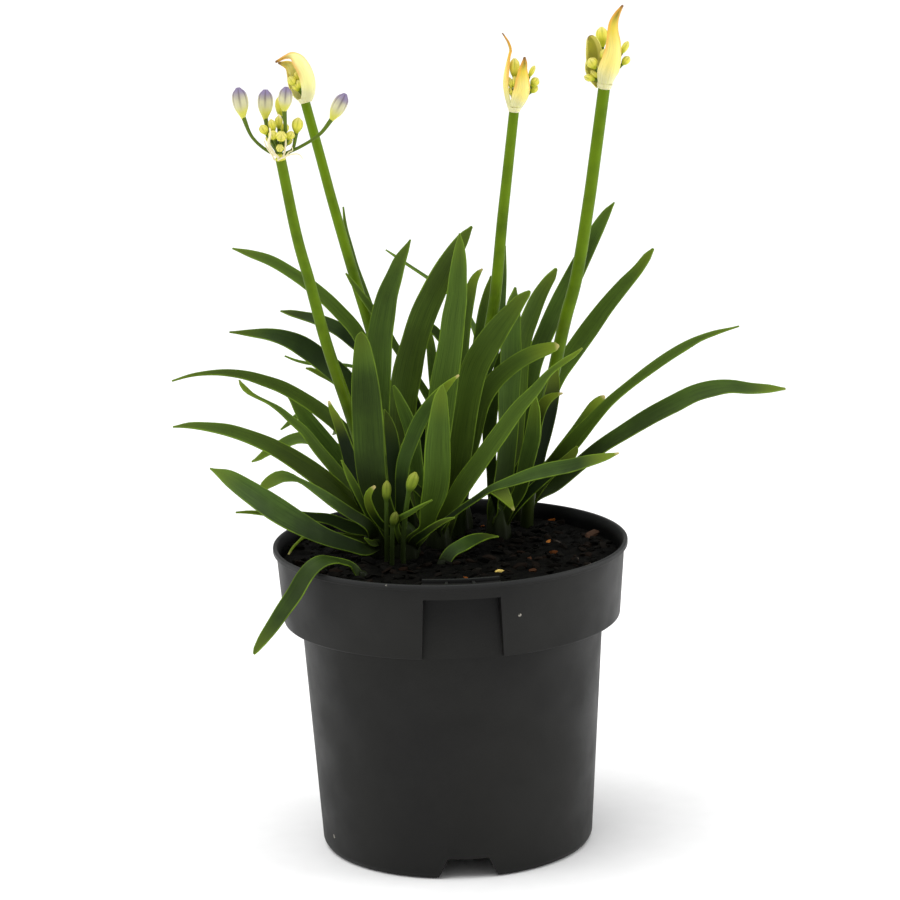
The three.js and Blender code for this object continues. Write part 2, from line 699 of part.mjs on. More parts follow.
// Flower heads. A valve of the papery sheath follows its ridge from the stem's top to its tip. `widths` are
// its widths on the way, `cup` is how far its margins stand off the ridge for each mm of width, and `hollow`
// is where it opens. A small bud is its middle, its length and its radius, and its stalk runs back to the
// stem's top.
const HEADS = {
  2: {
    stem: "flower_stem_2",
    valves: [
      {
        ridge: [
          [-74.9, 53.2, 426.8], [-73.2, 52.8, 432.1], [-73.1, 52.2, 438.2], [-75.5, 52, 445.9],
          [-79.2, 52, 451], [-82.9, 52, 453.2], [-86.5, 52, 452.7], [-92.7, 52, 449.8],
        ],
        widths: [7, 8.6, 9.5, 9, 7.9, 4.6, 2.2, 1],
        cup: 0.34,
        hollow: [-0.5, 0.87, -0.1],
      },
      {
        ridge: [
          [-77.9, 58.9, 426.4], [-80.7, 60, 430.8], [-82.8, 60.4, 436.6], [-83.8, 60, 442.5],
          [-86, 58.5, 447], [-91.4, 56.5, 449],
        ],
        widths: [5, 8.5, 9.5, 8.5, 5.5, 1],
        cup: 0.28,
        hollow: [0.45, -0.9, 0],
      },
    ],
    buds: [
      [-83.5, 54.8, 438.2, 6.6, 2.4], [-81.4, 55.4, 434.8, 6, 2], [-80.4, 56.6, 440.6, 6.4, 2],
      [-79.6, 54.6, 436.4, 5.6, 1.8],
    ],
  },
  3: {
    stem: "flower_stem_3",
    valves: [
      {
        ridge: [
          [39.9, 33.1, 422.2], [38.1, 33.2, 429.8], [37.5, 32.8, 435.5], [38, 32.6, 441.2],
          [39.3, 32.6, 446.9], [40.6, 32.6, 452], [41.4, 32.4, 455.4], [40.3, 32.2, 459.7],
          [38.8, 32, 462.6], [37.2, 32, 465.2],
        ],
        widths: [4.5, 5.6, 6, 5.6, 4, 2.6, 2.6, 2.2, 1.4, 0.9],
        cup: 0.3,
        hollow: [1, 0.3, 0],
      },
      {
        ridge: [
          [43.9, 30.9, 422.2], [46.6, 29.2, 427.7], [48.3, 28.4, 432.9], [48.7, 28.2, 438.6],
          [48.9, 28.8, 444.2], [49.6, 29.6, 448.1], [49.6, 30, 451.5],
        ],
        widths: [7, 9.2, 9.2, 7.6, 5, 3.2, 1],
        cup: 0.3,
        hollow: [-0.25, 1, 0],
      },
    ],
    buds: [
      [43.9, 35, 444.3, 12, 2.8], [53.5, 35.6, 442.2, 8, 1.4], [55, 37, 436, 6.4, 2.4],
      [54.5, 38.4, 431.8, 6, 2], [41.4, 32.2, 436, 8, 1.3], [43.6, 31.8, 436.6, 8, 1.4],
      [41.7, 32.6, 431, 7, 1.2],
    ],
  },
  4: {
    stem: "flower_stem_4",
    valves: [
      {
        ridge: [
          [95.6, 40.8, 431.8], [97.3, 37.6, 438.5], [98.8, 36.6, 443.1], [100, 36.4, 447.7],
          [100.8, 36.6, 452.2], [101.1, 37.2, 457.2], [100.8, 38.2, 463.4], [101.3, 39.2, 468.4],
          [103.3, 40.2, 473.3], [106.4, 41, 478.2],
        ],
        widths: [8, 11.8, 12, 11, 9.6, 8.4, 6.4, 5.2, 3.2, 1],
        cup: 0.33,
        hollow: [-0.2, 1, 0],
      },
      {
        ridge: [
          [92.9, 46.9, 431.8], [89.4, 48.6, 436.9], [87.9, 49.4, 441.9], [88.7, 49.6, 446.5],
          [88.5, 48.8, 452.3], [87.6, 46.8, 456.8], [86.6, 43.8, 460], [86.8, 40.6, 461],
        ],
        widths: [6, 7.5, 9.2, 9.6, 9.8, 8.6, 6, 3],
        cup: 0.3,
        hollow: [0.35, -0.95, 0],
      },
    ],
    buds: [
      [94.8, 53, 459, 11.8, 3.4], [88.6, 42, 445.3, 7, 3.1], [87, 42.5, 436.9, 7, 2],
      [90.2, 43.4, 438.8, 7, 1.8], [107.2, 46.4, 453.2, 8.6, 1.8], [107.6, 46.8, 445.7, 6.6, 2.1],
      [95.4, 43.6, 449.2, 8, 2.4], [101.8, 50.4, 449.5, 8.6, 2.6],
    ],
  },
};

// The open head on the first stem: long-stalked buds that show colour, and small ones held at the middle.
const UMBEL = {
  name: "umbel_1",
  stem: "flower_stem_1",
  stalkRadius: 1.05,
  long: [
    {
      path: [[-96, -9, 407.2], [-104.4, -11, 415.6], [-108.8, -12, 426.2]],
      tip: [-111, -14, 443.6],
      radius: 4.2,
    },
    { path: [[-94.6, -7, 413.1], [-96.9, -6, 424.4]], tip: [-96.2, -5, 441.2], radius: 4.1 },
    { path: [[-85.9, -12, 416.3], [-85.8, -14, 429.3]], tip: [-84.1, -15, 443.5], radius: 3.7 },
    {
      path: [[-77.9, -9, 409], [-66.5, -10, 416.1], [-60.2, -10, 423.2]],
      tip: [-51.5, -12, 438.4],
      radius: 3.9,
    },
    { path: [[-82.5, -9, 407.4], [-79.9, -10, 416.4]], tip: [-78.1, -11, 425.6], radius: 3 },
    { path: [[-89, -3, 412], [-88.6, 0, 424.4]], tip: [-88.4, 1, 436.6], radius: 2.8 },
  ],
  small: [
    [-97.4, -13, 419.5, 6.6, 2.4], [-92.8, -12, 421.5, 8, 2.1], [-89.4, -7, 422.4, 8, 2.1],
    [-92.4, -15.4, 416.6, 6, 2.5], [-87.9, -17.5, 416, 6.2, 3], [-83.1, -13, 415.8, 6, 2.3],
    [-88.9, -17, 409.6, 5.4, 2.1], [-94.4, -8, 413.4, 6.4, 2.2], [-86.6, -2, 418.5, 6.6, 2.4],
    [-84.6, -6, 411.8, 6, 2],
  ],
};

// ---------------------------------------------------------------- from geometry to solids and meshes

function toSolid(geometry) {
  const bare = geometry.index ? geometry.toNonIndexed() : geometry.clone();
  bare.deleteAttribute("normal");
  bare.deleteAttribute("uv");
  const merged = mergeVertices(bare, 1e-4);
  return new wasm.Manifold(
    new wasm.Mesh({
      numProp: 3,
      vertProperties: merged.attributes.position.array,
      triVerts: new Uint32Array(merged.index.array),
    }),
  );
}

function join(solids) {
  return solids.reduce((whole, piece) => whole.add(piece));
}

function placed(geometry, position, rotation = [0, 0, 0]) {
  const turn = new THREE.Quaternion().setFromEuler(new THREE.Euler(...rotation));
  const at = new THREE.Matrix4().compose(new THREE.Vector3(...position), turn, new THREE.Vector3(1, 1, 1));
  return toSolid(geometry.clone().applyMatrix4(at));
}

const plant = new THREE.Group();
plant.name = "agapanthus";

function addMesh(name, solid, colour, roughness) {
  const { vertProperties, triVerts } = solid.getMesh();
  const geometry = new THREE.BufferGeometry();
  geometry.setAttribute("position", new THREE.BufferAttribute(new Float32Array(vertProperties), 3));
  geometry.setIndex(new THREE.BufferAttribute(new Uint32Array(triVerts), 1));
  geometry.computeVertexNormals();
  const material = new THREE.MeshStandardMaterial({ color: colour, roughness, metalness: 0 });
  const mesh = new THREE.Mesh(geometry, material);
  mesh.name = name;
  plant.add(mesh);
}

function indexed(points, triangles) {
  const geometry = new THREE.BufferGeometry();
  const flat = points.flatMap((p) => [p.x, p.y, p.z]);
  geometry.setAttribute("position", new THREE.Float32BufferAttribute(flat, 3));
  geometry.setIndex(triangles.flat());
  return geometry;
}

// ---------------------------------------------------------------- growing forms

function curveThrough(path) {
  return new THREE.CatmullRomCurve3(path.map((p) => new THREE.Vector3(...p)), false, "centripetal");
}

// A thin strip along a curve, `widths` wide at the curve's points. Its margins rise by `cup` for each mm of
// width, and its upper face looks from `face` at the root to `tipFace` at the tip. `crowding` draws the
// stations to the tip. `thick` is its thickness at the middle and at the margins.
function strip({ path, widths, cup, face, tipFace = face, stations, columns, crowding, thick }) {
  const curve = curveThrough(path);
  const outline = new THREE.SplineCurve(widths.map((width, i) => new THREE.Vector2(i, width)));
  const first = new THREE.Vector3(...face).normalize();
  const last = new THREE.Vector3(...tipFace).normalize();
  const points = [];
  for (let i = 0; i <= stations; i++) {
    const t = i / stations + crowding * Math.sin((Math.PI * i) / stations);
    const along = curve.getTangentAt(t);
    const side = new THREE.Vector3().crossVectors(along, first.clone().lerp(last, t)).normalize();
    const out = new THREE.Vector3().crossVectors(side, along).normalize();
    const width = Math.max(0.9, outline.getPoint(curve.getUtoTmapping(t)).y);
    for (const half of [0.5, -0.5]) {
      for (let j = 0; j <= columns; j++) {
        const across = (2 * j) / columns - 1;
        const depth = THREE.MathUtils.lerp(thick[0], thick[1], Math.abs(across));
        const rise = cup * width * across * across + half * depth;
        const point = curve.getPointAt(t);
        points.push(point.addScaledVector(side, (across * width) / 2).addScaledVector(out, rise));
      }
    }
  }
  const row = columns + 1;
  const upper = (i, j) => i * 2 * row + j;
  const lower = (i, j) => upper(i, j) + row;
  const triangles = [];
  for (let i = 0; i < stations; i++) {
    for (let j = 0; j < columns; j++) {
      triangles.push([upper(i, j), upper(i, j + 1), upper(i + 1, j + 1)]);
      triangles.push([upper(i, j), upper(i + 1, j + 1), upper(i + 1, j)]);
      triangles.push([lower(i, j), lower(i + 1, j + 1), lower(i, j + 1)]);
      triangles.push([lower(i, j), lower(i + 1, j), lower(i + 1, j + 1)]);
    }
    triangles.push([upper(i, 0), upper(i + 1, 0), lower(i + 1, 0)]);
    triangles.push([upper(i, 0), lower(i + 1, 0), lower(i, 0)]);
    triangles.push([upper(i + 1, columns), upper(i, columns), lower(i, columns)]);
    triangles.push([upper(i + 1, columns), lower(i, columns), lower(i + 1, columns)]);
  }
  for (let j = 0; j < columns; j++) {
    triangles.push([upper(0, j), lower(0, j), lower(0, j + 1)]);
    triangles.push([upper(0, j), lower(0, j + 1), upper(0, j + 1)]);
    triangles.push([upper(stations, j), lower(stations, j + 1), lower(stations, j)]);
    triangles.push([upper(stations, j), upper(stations, j + 1), lower(stations, j + 1)]);
  }
  return toSolid(indexed(points, triangles));
}

// A strap leaf, shallowly channelled and thinner at its margins.
function leafBlade({ widths, face, tipFace, path }) {
  return strip({
    path,
    widths,
    cup: LEAF.channel,
    face,
    tipFace,
    stations: Math.max(5, Math.round(curveThrough(path).getLength() / LEAF.stationEvery)),
    columns: 2,
    crowding: LEAF.tipCrowding,
    thick: LEAF.thick,
  });
}

// A round stem or stalk along a curve, with a radius at each end.
function stalk(path, radii, sides, steps) {
  const curve = curveThrough(path);
  const frames = curve.computeFrenetFrames(steps);
  const points = [];
  for (let i = 0; i <= steps; i++) {
    const t = i / steps;
    const radius = THREE.MathUtils.lerp(radii[0], radii[1], t);
    for (let k = 0; k < sides; k++) {
      const angle = (k / sides) * 2 * Math.PI;
      const point = curve.getPointAt(t);
      point.addScaledVector(frames.normals[i], radius * Math.cos(angle));
      points.push(point.addScaledVector(frames.binormals[i], radius * Math.sin(angle)));
    }
  }
  points.push(curve.getPointAt(0), curve.getPointAt(1));
  return toSolid(indexed(points, ringTriangles(steps, sides)));
}

// Faces of a skin of rings, numbered ring by ring, closed by a point below the first and one above the last.
function ringTriangles(steps, sides) {
  const triangles = [];
  const foot = (steps + 1) * sides;
  for (let k = 0; k < sides; k++) {
    const next = (k + 1) % sides;
    for (let i = 0; i < steps; i++) {
      const low = i * sides;
      const high = low + sides;
      triangles.push([low + k, low + next, high + next]);
      triangles.push([low + k, high + next, high + k]);
    }
    triangles.push([foot, next, k]);
    triangles.push([foot + 1, steps * sides + k, steps * sides + next]);
  }
  return triangles;
}

// A turned form whose axis leaves `foot` along the unit vector `along`.
function standing(profile, sides, foot, along) {
  const turn = new THREE.Quaternion().setFromUnitVectors(new THREE.Vector3(0, 1, 0), along);
  const at = new THREE.Matrix4().compose(foot, turn, new THREE.Vector3(1, 1, 1));
  return toSolid(new THREE.LatheGeometry(profile, sides).applyMatrix4(at));
}

// A closed bud: a turned drop with a narrow foot and a blunt tip.
const BUD_OUTLINE = [[0.3, 0], [0.64, 0.2], [1.02, 0.52], [0.94, 0.78], [0.36, 1]];
const SMALL_BUD_OUTLINE = [[0.7, 0.15], [1, 0.5], [0.6, 0.9]];

function bud(foot, tip, radius, shape = BUD_OUTLINE, sides = 6) {
  const axis = new THREE.Vector3(...tip).sub(new THREE.Vector3(...foot));
  const length = axis.length();
  const outline = shape.map(([r, h]) => new THREE.Vector2(r * radius, h * length));
  const profile = [new THREE.Vector2(0, 0), ...outline, new THREE.Vector2(0, length)];
  return standing(profile, sides, new THREE.Vector3(...foot), axis.normalize());
}

// ---------------------------------------------------------------- pot

function turned(profile, sides) {
  const geometry = new THREE.LatheGeometry(profile.map(([r, z]) => new THREE.Vector2(r, z)), sides);
  return toSolid(geometry.rotateX(Math.PI / 2));
}

// A curved block at the label panel's place, `footSpread` times as wide at its foot as at its top.
function ringSector(inner, outer, foot, top, halfAngle, footSpread = 1) {
  const shape = new THREE.Shape();
  const { facing } = LABEL_PANEL;
  shape.absarc(0, 0, outer, facing - halfAngle, facing + halfAngle, false);
  shape.absarc(0, 0, inner, facing + halfAngle, facing - halfAngle, true);
  const extent = { depth: top - foot, bevelEnabled: false, curveSegments: 4 };
  const geometry = new THREE.ExtrudeGeometry(shape, extent);
  const places = geometry.getAttribute("position");
  for (let i = 0; i < places.count; i++) {
    if (places.getZ(i) > 0.01) continue;
    const radius = Math.hypot(places.getX(i), places.getY(i));
    const angle = facing + footSpread * (Math.atan2(places.getY(i), places.getX(i)) - facing);
    places.setXY(i, radius * Math.cos(angle), radius * Math.sin(angle));
  }
  return toSolid(geometry.translate(0, 0, foot));
}

function bodyInside(z) {
  const share = z / POT.collarFoot;
  return THREE.MathUtils.lerp(POT.bodyFootRadius, POT.bodyTopRadius, share) - POT.wall;
}

function collarInside(z) {
  const share = (z - POT.collarFoot) / (POT.height - POT.collarFoot);
  return THREE.MathUtils.lerp(POT.collarFootRadius, POT.collarTopRadius, share) - POT.wall;
}

// Thickens the collar behind the label panel. Its inner wall stands above the lip, braced by two ribs.
function labelPad() {
  const { padHalfAngle, padFootHalfAngle, padShelf, padTop, padWall, depth } = LABEL_PANEL;
  const { collarFoot, collarFootRadius, collarTopRadius } = POT;
  const inner = collarFootRadius - depth - POT.wall;
  const core = [
    [0, collarFoot + 0.2],
    [collarFootRadius - 0.9, collarFoot + 0.2],
    [collarTopRadius - 0.9, padShelf],
    [0, padShelf],
  ];
  const footSpread = padFootHalfAngle / padHalfAngle;
  let pad = ringSector(inner, POT.lipRadius, collarFoot, POT.height, padHalfAngle, footSpread);
  pad = pad.intersect(turned(core, POT.sides));
  pad = pad.add(ringSector(inner, inner + padWall, padShelf - 2, padTop, padHalfAngle));
  const rib = ringSector(inner + 1, POT.lipRadius - POT.lipThick + 1, padShelf - 2, padTop - 1, 0.008);
  for (const turn of [-0.085, 0.07]) {
    pad = pad.add(rib.rotate([0, 0, THREE.MathUtils.radToDeg(turn)]));
  }
  return pad;
}

function labelRecess() {
  const { halfAngle, footHalfAngle, foot, top } = LABEL_PANEL;
  const panelFace = POT.collarFootRadius - LABEL_PANEL.depth;
  return ringSector(panelFace, POT.lipRadius + 4, foot, top, halfAngle, footHalfAngle / halfAngle);
}

function drainNotch() {
  const shape = new THREE.Shape();
  shape.moveTo(-DRAIN.footWidth / 2, -1);
  shape.lineTo(DRAIN.footWidth / 2, -1);
  shape.lineTo(DRAIN.topWidth / 2, DRAIN.height);
  shape.lineTo(-DRAIN.topWidth / 2, DRAIN.height);
  const depth = 16;
  const geometry = new THREE.ExtrudeGeometry(shape, { depth, bevelEnabled: false });
  return geometry.rotateX(Math.PI / 2).translate(0, -POT.skirtInside + 4, 0);
}

function potSolid() {
  const { height, lipHeight, lipRadius, collarFoot, footCorner } = POT;
  const ledge = collarFoot + POT.wall;
  const lipFoot = height - lipHeight;
  const floorTop = POT.floorUnder + POT.floorThick;
  const profile = [
    [0, POT.floorUnder],
    [POT.skirtInside, POT.floorUnder],
    [POT.skirtInside, 0],
    [POT.bodyFootRadius - footCorner, 0],
    [POT.bodyFootRadius - 0.3 * footCorner, 0.3 * footCorner],
    [POT.bodyFootRadius, footCorner],
    [POT.bodyTopRadius, collarFoot],
    [POT.collarFootRadius - 0.8, collarFoot],
    [POT.collarFootRadius, collarFoot + 0.8],
    [POT.collarTopRadius, lipFoot],
    [lipRadius - 0.6, lipFoot],
    [lipRadius, lipFoot + 0.9],
    [lipRadius, height - 1.1],
    [lipRadius - 1.1, height],
    [lipRadius - POT.lipThick + 0.6, height],
    [lipRadius - POT.lipThick, height - 0.8],
    [collarInside(lipFoot - 2), lipFoot - 2],
    [collarInside(ledge), ledge],
    [bodyInside(ledge), ledge],
    [bodyInside(floorTop), floorTop],
    [0, floorTop],
  ];
  let pot = turned(profile, POT.sides);
  const { centreFootRadius } = POT;
  const centreFoot = new THREE.CylinderGeometry(centreFootRadius, centreFootRadius, floorTop - 1, 12);
  pot = pot.add(placed(centreFoot.rotateX(Math.PI / 2), [0, 0, (floorTop - 1) / 2]));
  pot = pot.add(labelPad()).subtract(labelRecess());
  for (let k = 0; k < DRAIN.notches; k++) {
    const angle = FRONT + Math.PI / 2 + (k / DRAIN.notches) * 2 * Math.PI;
    pot = pot.subtract(placed(drainNotch(), [0, 0, 0], [0, 0, angle]));
  }
  for (let k = 0; k < DRAIN.holes; k++) {
    const angle = FRONT + Math.PI / 2 + (k / DRAIN.holes) * 2 * Math.PI;
    const half = Math.PI / DRAIN.holes;
    const webLength = POT.skirtInside + 1 - centreFootRadius / 2;
    const web = new THREE.BoxGeometry(POT.webThick, webLength, POT.floorUnder + 0.5);
    web.translate(0, centreFootRadius / 2 + webLength / 2, (POT.floorUnder + 0.5) / 2);
    pot = pot.add(placed(web, [0, 0, 0], [0, 0, angle + half]));
    const hole = new THREE.CylinderGeometry(DRAIN.holeRadius, DRAIN.holeRadius, 8, 8);
    hole.rotateX(Math.PI / 2).translate(0, -DRAIN.holeAt, floorTop);
    pot = pot.subtract(placed(hole, [0, 0, 0], [0, 0, angle]));
  }
  return pot;
}

// ---------------------------------------------------------------- soil

function scatter(seed) {
  let state = seed;
  return () => {
    state = (Math.imul(state, 1664525) + 1013904223) >>> 0;
    return state / 4294967296;
  };
}

function latticeValue(i, j) {
  const s = Math.sin(i * 127.1 + j * 311.7) * 43758.5453;
  return 2 * (s - Math.floor(s)) - 1;
}

function lumps(x, y) {
  const [u, v] = [x / SOIL.lump, y / SOIL.lump];
  const [i, j] = [Math.floor(u), Math.floor(v)];
  const [a, b] = [u - i, v - j];
  const low = THREE.MathUtils.lerp(latticeValue(i, j), latticeValue(i + 1, j), a);
  const high = THREE.MathUtils.lerp(latticeValue(i, j + 1), latticeValue(i + 1, j + 1), a);
  return THREE.MathUtils.lerp(low, high, b);
}

function soilBody() {
  const floorTop = POT.floorUnder + POT.floorThick;
  const ledge = POT.collarFoot + POT.wall;
  const edge = collarInside(SOIL.level - 4) - GAP;
  const rings = [
    [bodyInside(floorTop) - GAP, floorTop + GAP],
    [bodyInside(ledge) - GAP, ledge + GAP],
    [collarInside(ledge) - GAP, ledge + GAP],
    [edge, SOIL.level - 3.2],
  ];
  for (let i = SOIL.rings - 1; i > 0; i--) rings.push([(edge * i) / SOIL.rings, null]);
  const points = [];
  for (const [radius, z] of rings) {
    for (let k = 0; k < POT.sides; k++) {
      const angle = (k / POT.sides) * 2 * Math.PI;
      const [x, y] = [radius * Math.cos(angle), radius * Math.sin(angle)];
      points.push(new THREE.Vector3(x, y, z ?? SOIL.level + SOIL.relief * lumps(x, y)));
    }
  }
  points.push(new THREE.Vector3(0, 0, floorTop + GAP));
  points.push(new THREE.Vector3(0, 0, SOIL.level));
  return toSolid(indexed(points, ringTriangles(rings.length - 1, POT.sides)));
}

// Everything that stands in the soil: its foot's centre and the hole's radius.
function plantedFeet() {
  const hole = ([x, y], radius) => [x, y, radius];
  const { footRadius } = CROWN;
  return [
    ...Object.values(SHOOTS).map(({ crown }) => hole(crown, footRadius + GAP)),
    ...Object.values(STEMS).map(({ path, radii }) => hole(path[0], radii[0] + 2 * GAP)),
    ...Object.values(YOUNG_STEMS).map(({ path, radius }) => hole(path[0], radius + 2 * GAP)),
    ...Object.values(SIDE_SHOOTS).map(({ crown }) => hole(crown, SIDE_CROWN.scale * footRadius + GAP)),
  ];
}

function soilSolid() {
  const feet = plantedFeet();
  const random = scatter(20);
  const chips = [];
  while (chips.length < SOIL.chips) {
    const radius = SOIL.chipReach * Math.sqrt(random());
    const angle = 2 * Math.PI * random();
    const size = [5 + 5 * random(), 4 + 3 * random(), 1.6 + 1.4 * random()];
    const turn = [0.5 * (random() - 0.5), 0.5 * (random() - 0.5), Math.PI * random()];
    const [x, y] = [radius * Math.cos(angle), radius * Math.sin(angle)];
    if (feet.some(([fx, fy, fr]) => Math.hypot(x - fx, y - fy) < fr + 5.5)) continue;
    const height = SOIL.level + SOIL.relief * lumps(x, y);
    chips.push(placed(new THREE.BoxGeometry(...size), [x, y, height], turn));
  }
  const padInside = POT.collarFootRadius - LABEL_PANEL.depth - POT.wall;
  const { padHalfAngle, padFootHalfAngle } = LABEL_PANEL;
  const footSpread = (padFootHalfAngle + 0.007) / (padHalfAngle + 0.004);
  const panelPad = ringSector(padInside - GAP, 110, 130, 180, padHalfAngle + 0.004, footSpread);
  let soil = join([soilBody(), ...chips]).subtract(panelPad);
  for (const [x, y, radius] of feet) {
    const hole = new THREE.CylinderGeometry(radius, radius, 60, CROWN.sides).rotateX(Math.PI / 2);
    soil = soil.subtract(placed(hole, [x, y, CROWN.foot - GAP + 30]));
  }
  return soil;
}

// ---------------------------------------------------------------- shoots and stems

function shootSolid({ crown, leaves }, scale = 1, topAbove = CROWN.topAbove) {
  const [x, y] = crown;
  const top = SOIL.level + topAbove;
  const profile = [
    [0, CROWN.foot],
    [scale * (CROWN.footRadius - 1.5), CROWN.foot],
    [scale * CROWN.footRadius, CROWN.foot + 4],
    [scale * (CROWN.footRadius - 0.4), SOIL.level],
    [scale * CROWN.topRadius, top],
    [0, top + 3 * scale],
  ];
  const stump = turned(profile, CROWN.sides).translate([x, y, 0]);
  const rootZ = SOIL.level + 1.5 / scale;
  const blades = leaves.map((leaf) => leafBlade({ ...leaf, path: [[x, y, rootZ], ...leaf.path] }));
  return join([stump, ...blades]);
}

function stemSolid({ path, radii }) {
  const steps = Math.round(curveThrough(path).getLength() / 32);
  return stalk(path, radii, STEM_SIDES, steps);
}

function youngStemSolid({ path, radius, tip, budRadius }) {
  return stalk(path, [radius, radius], 6, 3).add(bud(path.at(-1), tip, budRadius));
}

// ---------------------------------------------------------------- flower heads

// The point `above` mm past a stem's top along its own line, and that line's direction.
function stemTop(name, above) {
  const curve = curveThrough(STEMS[name].path);
  const along = curve.getTangentAt(1);
  return { at: curve.getPointAt(1).addScaledVector(along, above), along };
}

function onStemTop(profile, name, above, sides) {
  const { at, along } = stemTop(name, above);
  return standing(profile.map(([r, z]) => new THREE.Vector2(r, z)), sides, at, along);
}

// The knob at the stem's end that every flower stalk leaves.
function knob(stem) {
  const { knobRadius: r, knobHeight: h } = HEAD;
  return onStemTop([[0, 0], [r, 0], [r, 0.7 * h], [0.6 * r, h], [0, h]], stem, GAP, 7);
}

// The collar round the knob where the sheath's valves are joined.
function sheathCollar(stem) {
  const { collarInside: a, collarOutside: b, collarHeight: h } = HEAD;
  return onStemTop([[a, 0], [b, 0], [b, h], [a, h], [a, 0]], stem, GAP, 10);
}

function valve({ ridge, widths, cup, hollow }) {
  return strip({
    path: ridge,
    widths,
    cup,
    face: hollow,
    stations: 7,
    columns: 4,
    crowding: 0,
    thick: VALVE_THICK,
  });
}

function stalkedBud(stem, [x, y, z, length, radius], stalkRadius) {
  const { at } = stemTop(stem, 0.85 * HEAD.knobHeight);
  const centre = new THREE.Vector3(x, y, z);
  const out = centre.clone().sub(at).normalize();
  const foot = centre.clone().addScaledVector(out, -length / 2);
  const tip = centre.clone().addScaledVector(out, length / 2);
  const joint = foot.clone().addScaledVector(out, 1);
  const line = [at.toArray(), joint.toArray()];
  const head = bud(foot.toArray(), tip.toArray(), radius, SMALL_BUD_OUTLINE, 5);
  return stalk(line, [stalkRadius, stalkRadius], 4, 1).add(head);
}

function budsSolid({ stem, buds }) {
  return join([knob(stem), ...buds.map((held) => stalkedBud(stem, held, 0.7))]);
}

function umbelSolid({ stem, stalkRadius, long, small }) {
  const { at } = stemTop(stem, HEAD.knobHeight * 0.6);
  const open = long.map(({ path, tip, radius }) => {
    const foot = path.at(-1);
    const inside = new THREE.Vector3(...foot).lerp(new THREE.Vector3(...tip), 0.08).toArray();
    const line = [at.toArray(), ...path.slice(0, -1), inside];
    return stalk(line, [stalkRadius, stalkRadius], 5, 3).add(bud(foot, tip, radius));
  });
  const held = small.map((middle) => stalkedBud(stem, middle, 0.8));
  return join([knob(stem), ...open, ...held]);
}

// ---------------------------------------------------------------- the plant

addMesh("pot", potSolid(), COLOUR.pot, 0.6);
addMesh("soil", soilSolid(), COLOUR.soil, 0.95);
for (const [name, shoot] of Object.entries(SHOOTS)) addMesh(name, shootSolid(shoot), COLOUR.leaf, 0.45);
for (const [name, shoot] of Object.entries(SIDE_SHOOTS)) {
  addMesh(name, shootSolid(shoot, SIDE_CROWN.scale, SIDE_CROWN.topAbove), COLOUR.leaf, 0.45);
}
for (const [name, stem] of Object.entries(STEMS)) addMesh(name, stemSolid(stem), COLOUR.stem, 0.45);
for (const [name, stem] of Object.entries(YOUNG_STEMS)) {
  addMesh(name, youngStemSolid(stem), COLOUR.bud, 0.5);
}
for (const [number, head] of Object.entries(HEADS)) {
  const sheath = join([sheathCollar(head.stem), ...head.valves.map(valve)]);
  addMesh(`spathe_${number}`, sheath, COLOUR.spathe, 0.5);
  addMesh(`buds_${number}`, budsSolid(head), COLOUR.bud, 0.5);
}
addMesh(UMBEL.name, umbelSolid(UMBEL), COLOUR.lilacBud, 0.5);

export default plant;
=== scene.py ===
"""Agapanthus in its nursery pot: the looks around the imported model.

Sizes in the classes are millimetres in the model's frame, +Z up and -Y the plant's front. Meshes are
made in metres. Each plant piece stands for the model's node that carries the same form.
"""

import logging
import math
import random
from collections.abc import Callable, Iterator, Sequence
from contextlib import contextmanager
from dataclasses import dataclass
from enum import Enum
from functools import cache
from itertools import pairwise
from typing import NamedTuple

import bpy
import numpy as np
from bpy.types import Material, Node, NodeSocket, NodeTree, Object
from mathutils import Euler, Matrix, Vector, noise


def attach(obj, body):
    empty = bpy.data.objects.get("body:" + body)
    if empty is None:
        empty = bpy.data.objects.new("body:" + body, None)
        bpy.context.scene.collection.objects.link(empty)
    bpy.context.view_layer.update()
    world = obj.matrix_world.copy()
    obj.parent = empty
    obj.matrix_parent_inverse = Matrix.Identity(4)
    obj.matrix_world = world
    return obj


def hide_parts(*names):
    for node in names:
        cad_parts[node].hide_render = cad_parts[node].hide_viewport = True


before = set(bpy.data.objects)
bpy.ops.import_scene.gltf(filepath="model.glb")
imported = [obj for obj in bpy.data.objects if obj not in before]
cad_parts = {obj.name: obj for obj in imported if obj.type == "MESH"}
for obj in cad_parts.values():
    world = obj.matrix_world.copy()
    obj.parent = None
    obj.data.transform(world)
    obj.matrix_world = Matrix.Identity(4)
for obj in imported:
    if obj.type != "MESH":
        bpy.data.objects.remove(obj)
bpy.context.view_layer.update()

LOG = logging.getLogger("agapanthus")
MM = 0.001
BODY = "root"
SOIL_LEVEL = 170.6
FRONT = math.radians(-86)
PANEL_FACING = math.radians(-86.7)

Pair = tuple[float, float]
Point = tuple[float, float, float]
Station = tuple[float, float, float, float]
Colour = tuple[float, float, float, float]
Numbers = Sequence[float]


def tint(red: int, green: int, blue: int) -> Colour:
    """Turns a display colour of 0 to 255 into the linear colour that shaders take.

    Args:
        red: Red on the display.
        green: Green on the display.
        blue: Blue on the display.

    Returns:
        The linear colour with full alpha.
    """
    channels = [value / 255 for value in (red, green, blue)]
    linear = [c / 12.92 if c <= 0.04045 else ((c + 0.055) / 1.055) ** 2.4 for c in channels]
    return (linear[0], linear[1], linear[2], 1.0)


# ---------------------------------------------------------------- modelling by operators


def start_clean() -> None:
    """Leaves edit mode and deselects everything."""
    if bpy.context.mode != "OBJECT":
        bpy.ops.object.mode_set(mode="OBJECT")
    bpy.ops.object.select_all(action="DESELECT")


def only(piece: Object) -> Object:
    """Makes a piece the only selected one and the active one.

    Args:
        piece: The piece to work on.

    Returns:
        The same piece.
    """
    start_clean()
    piece.select_set(True)
    bpy.context.view_layer.objects.active = piece
    return piece


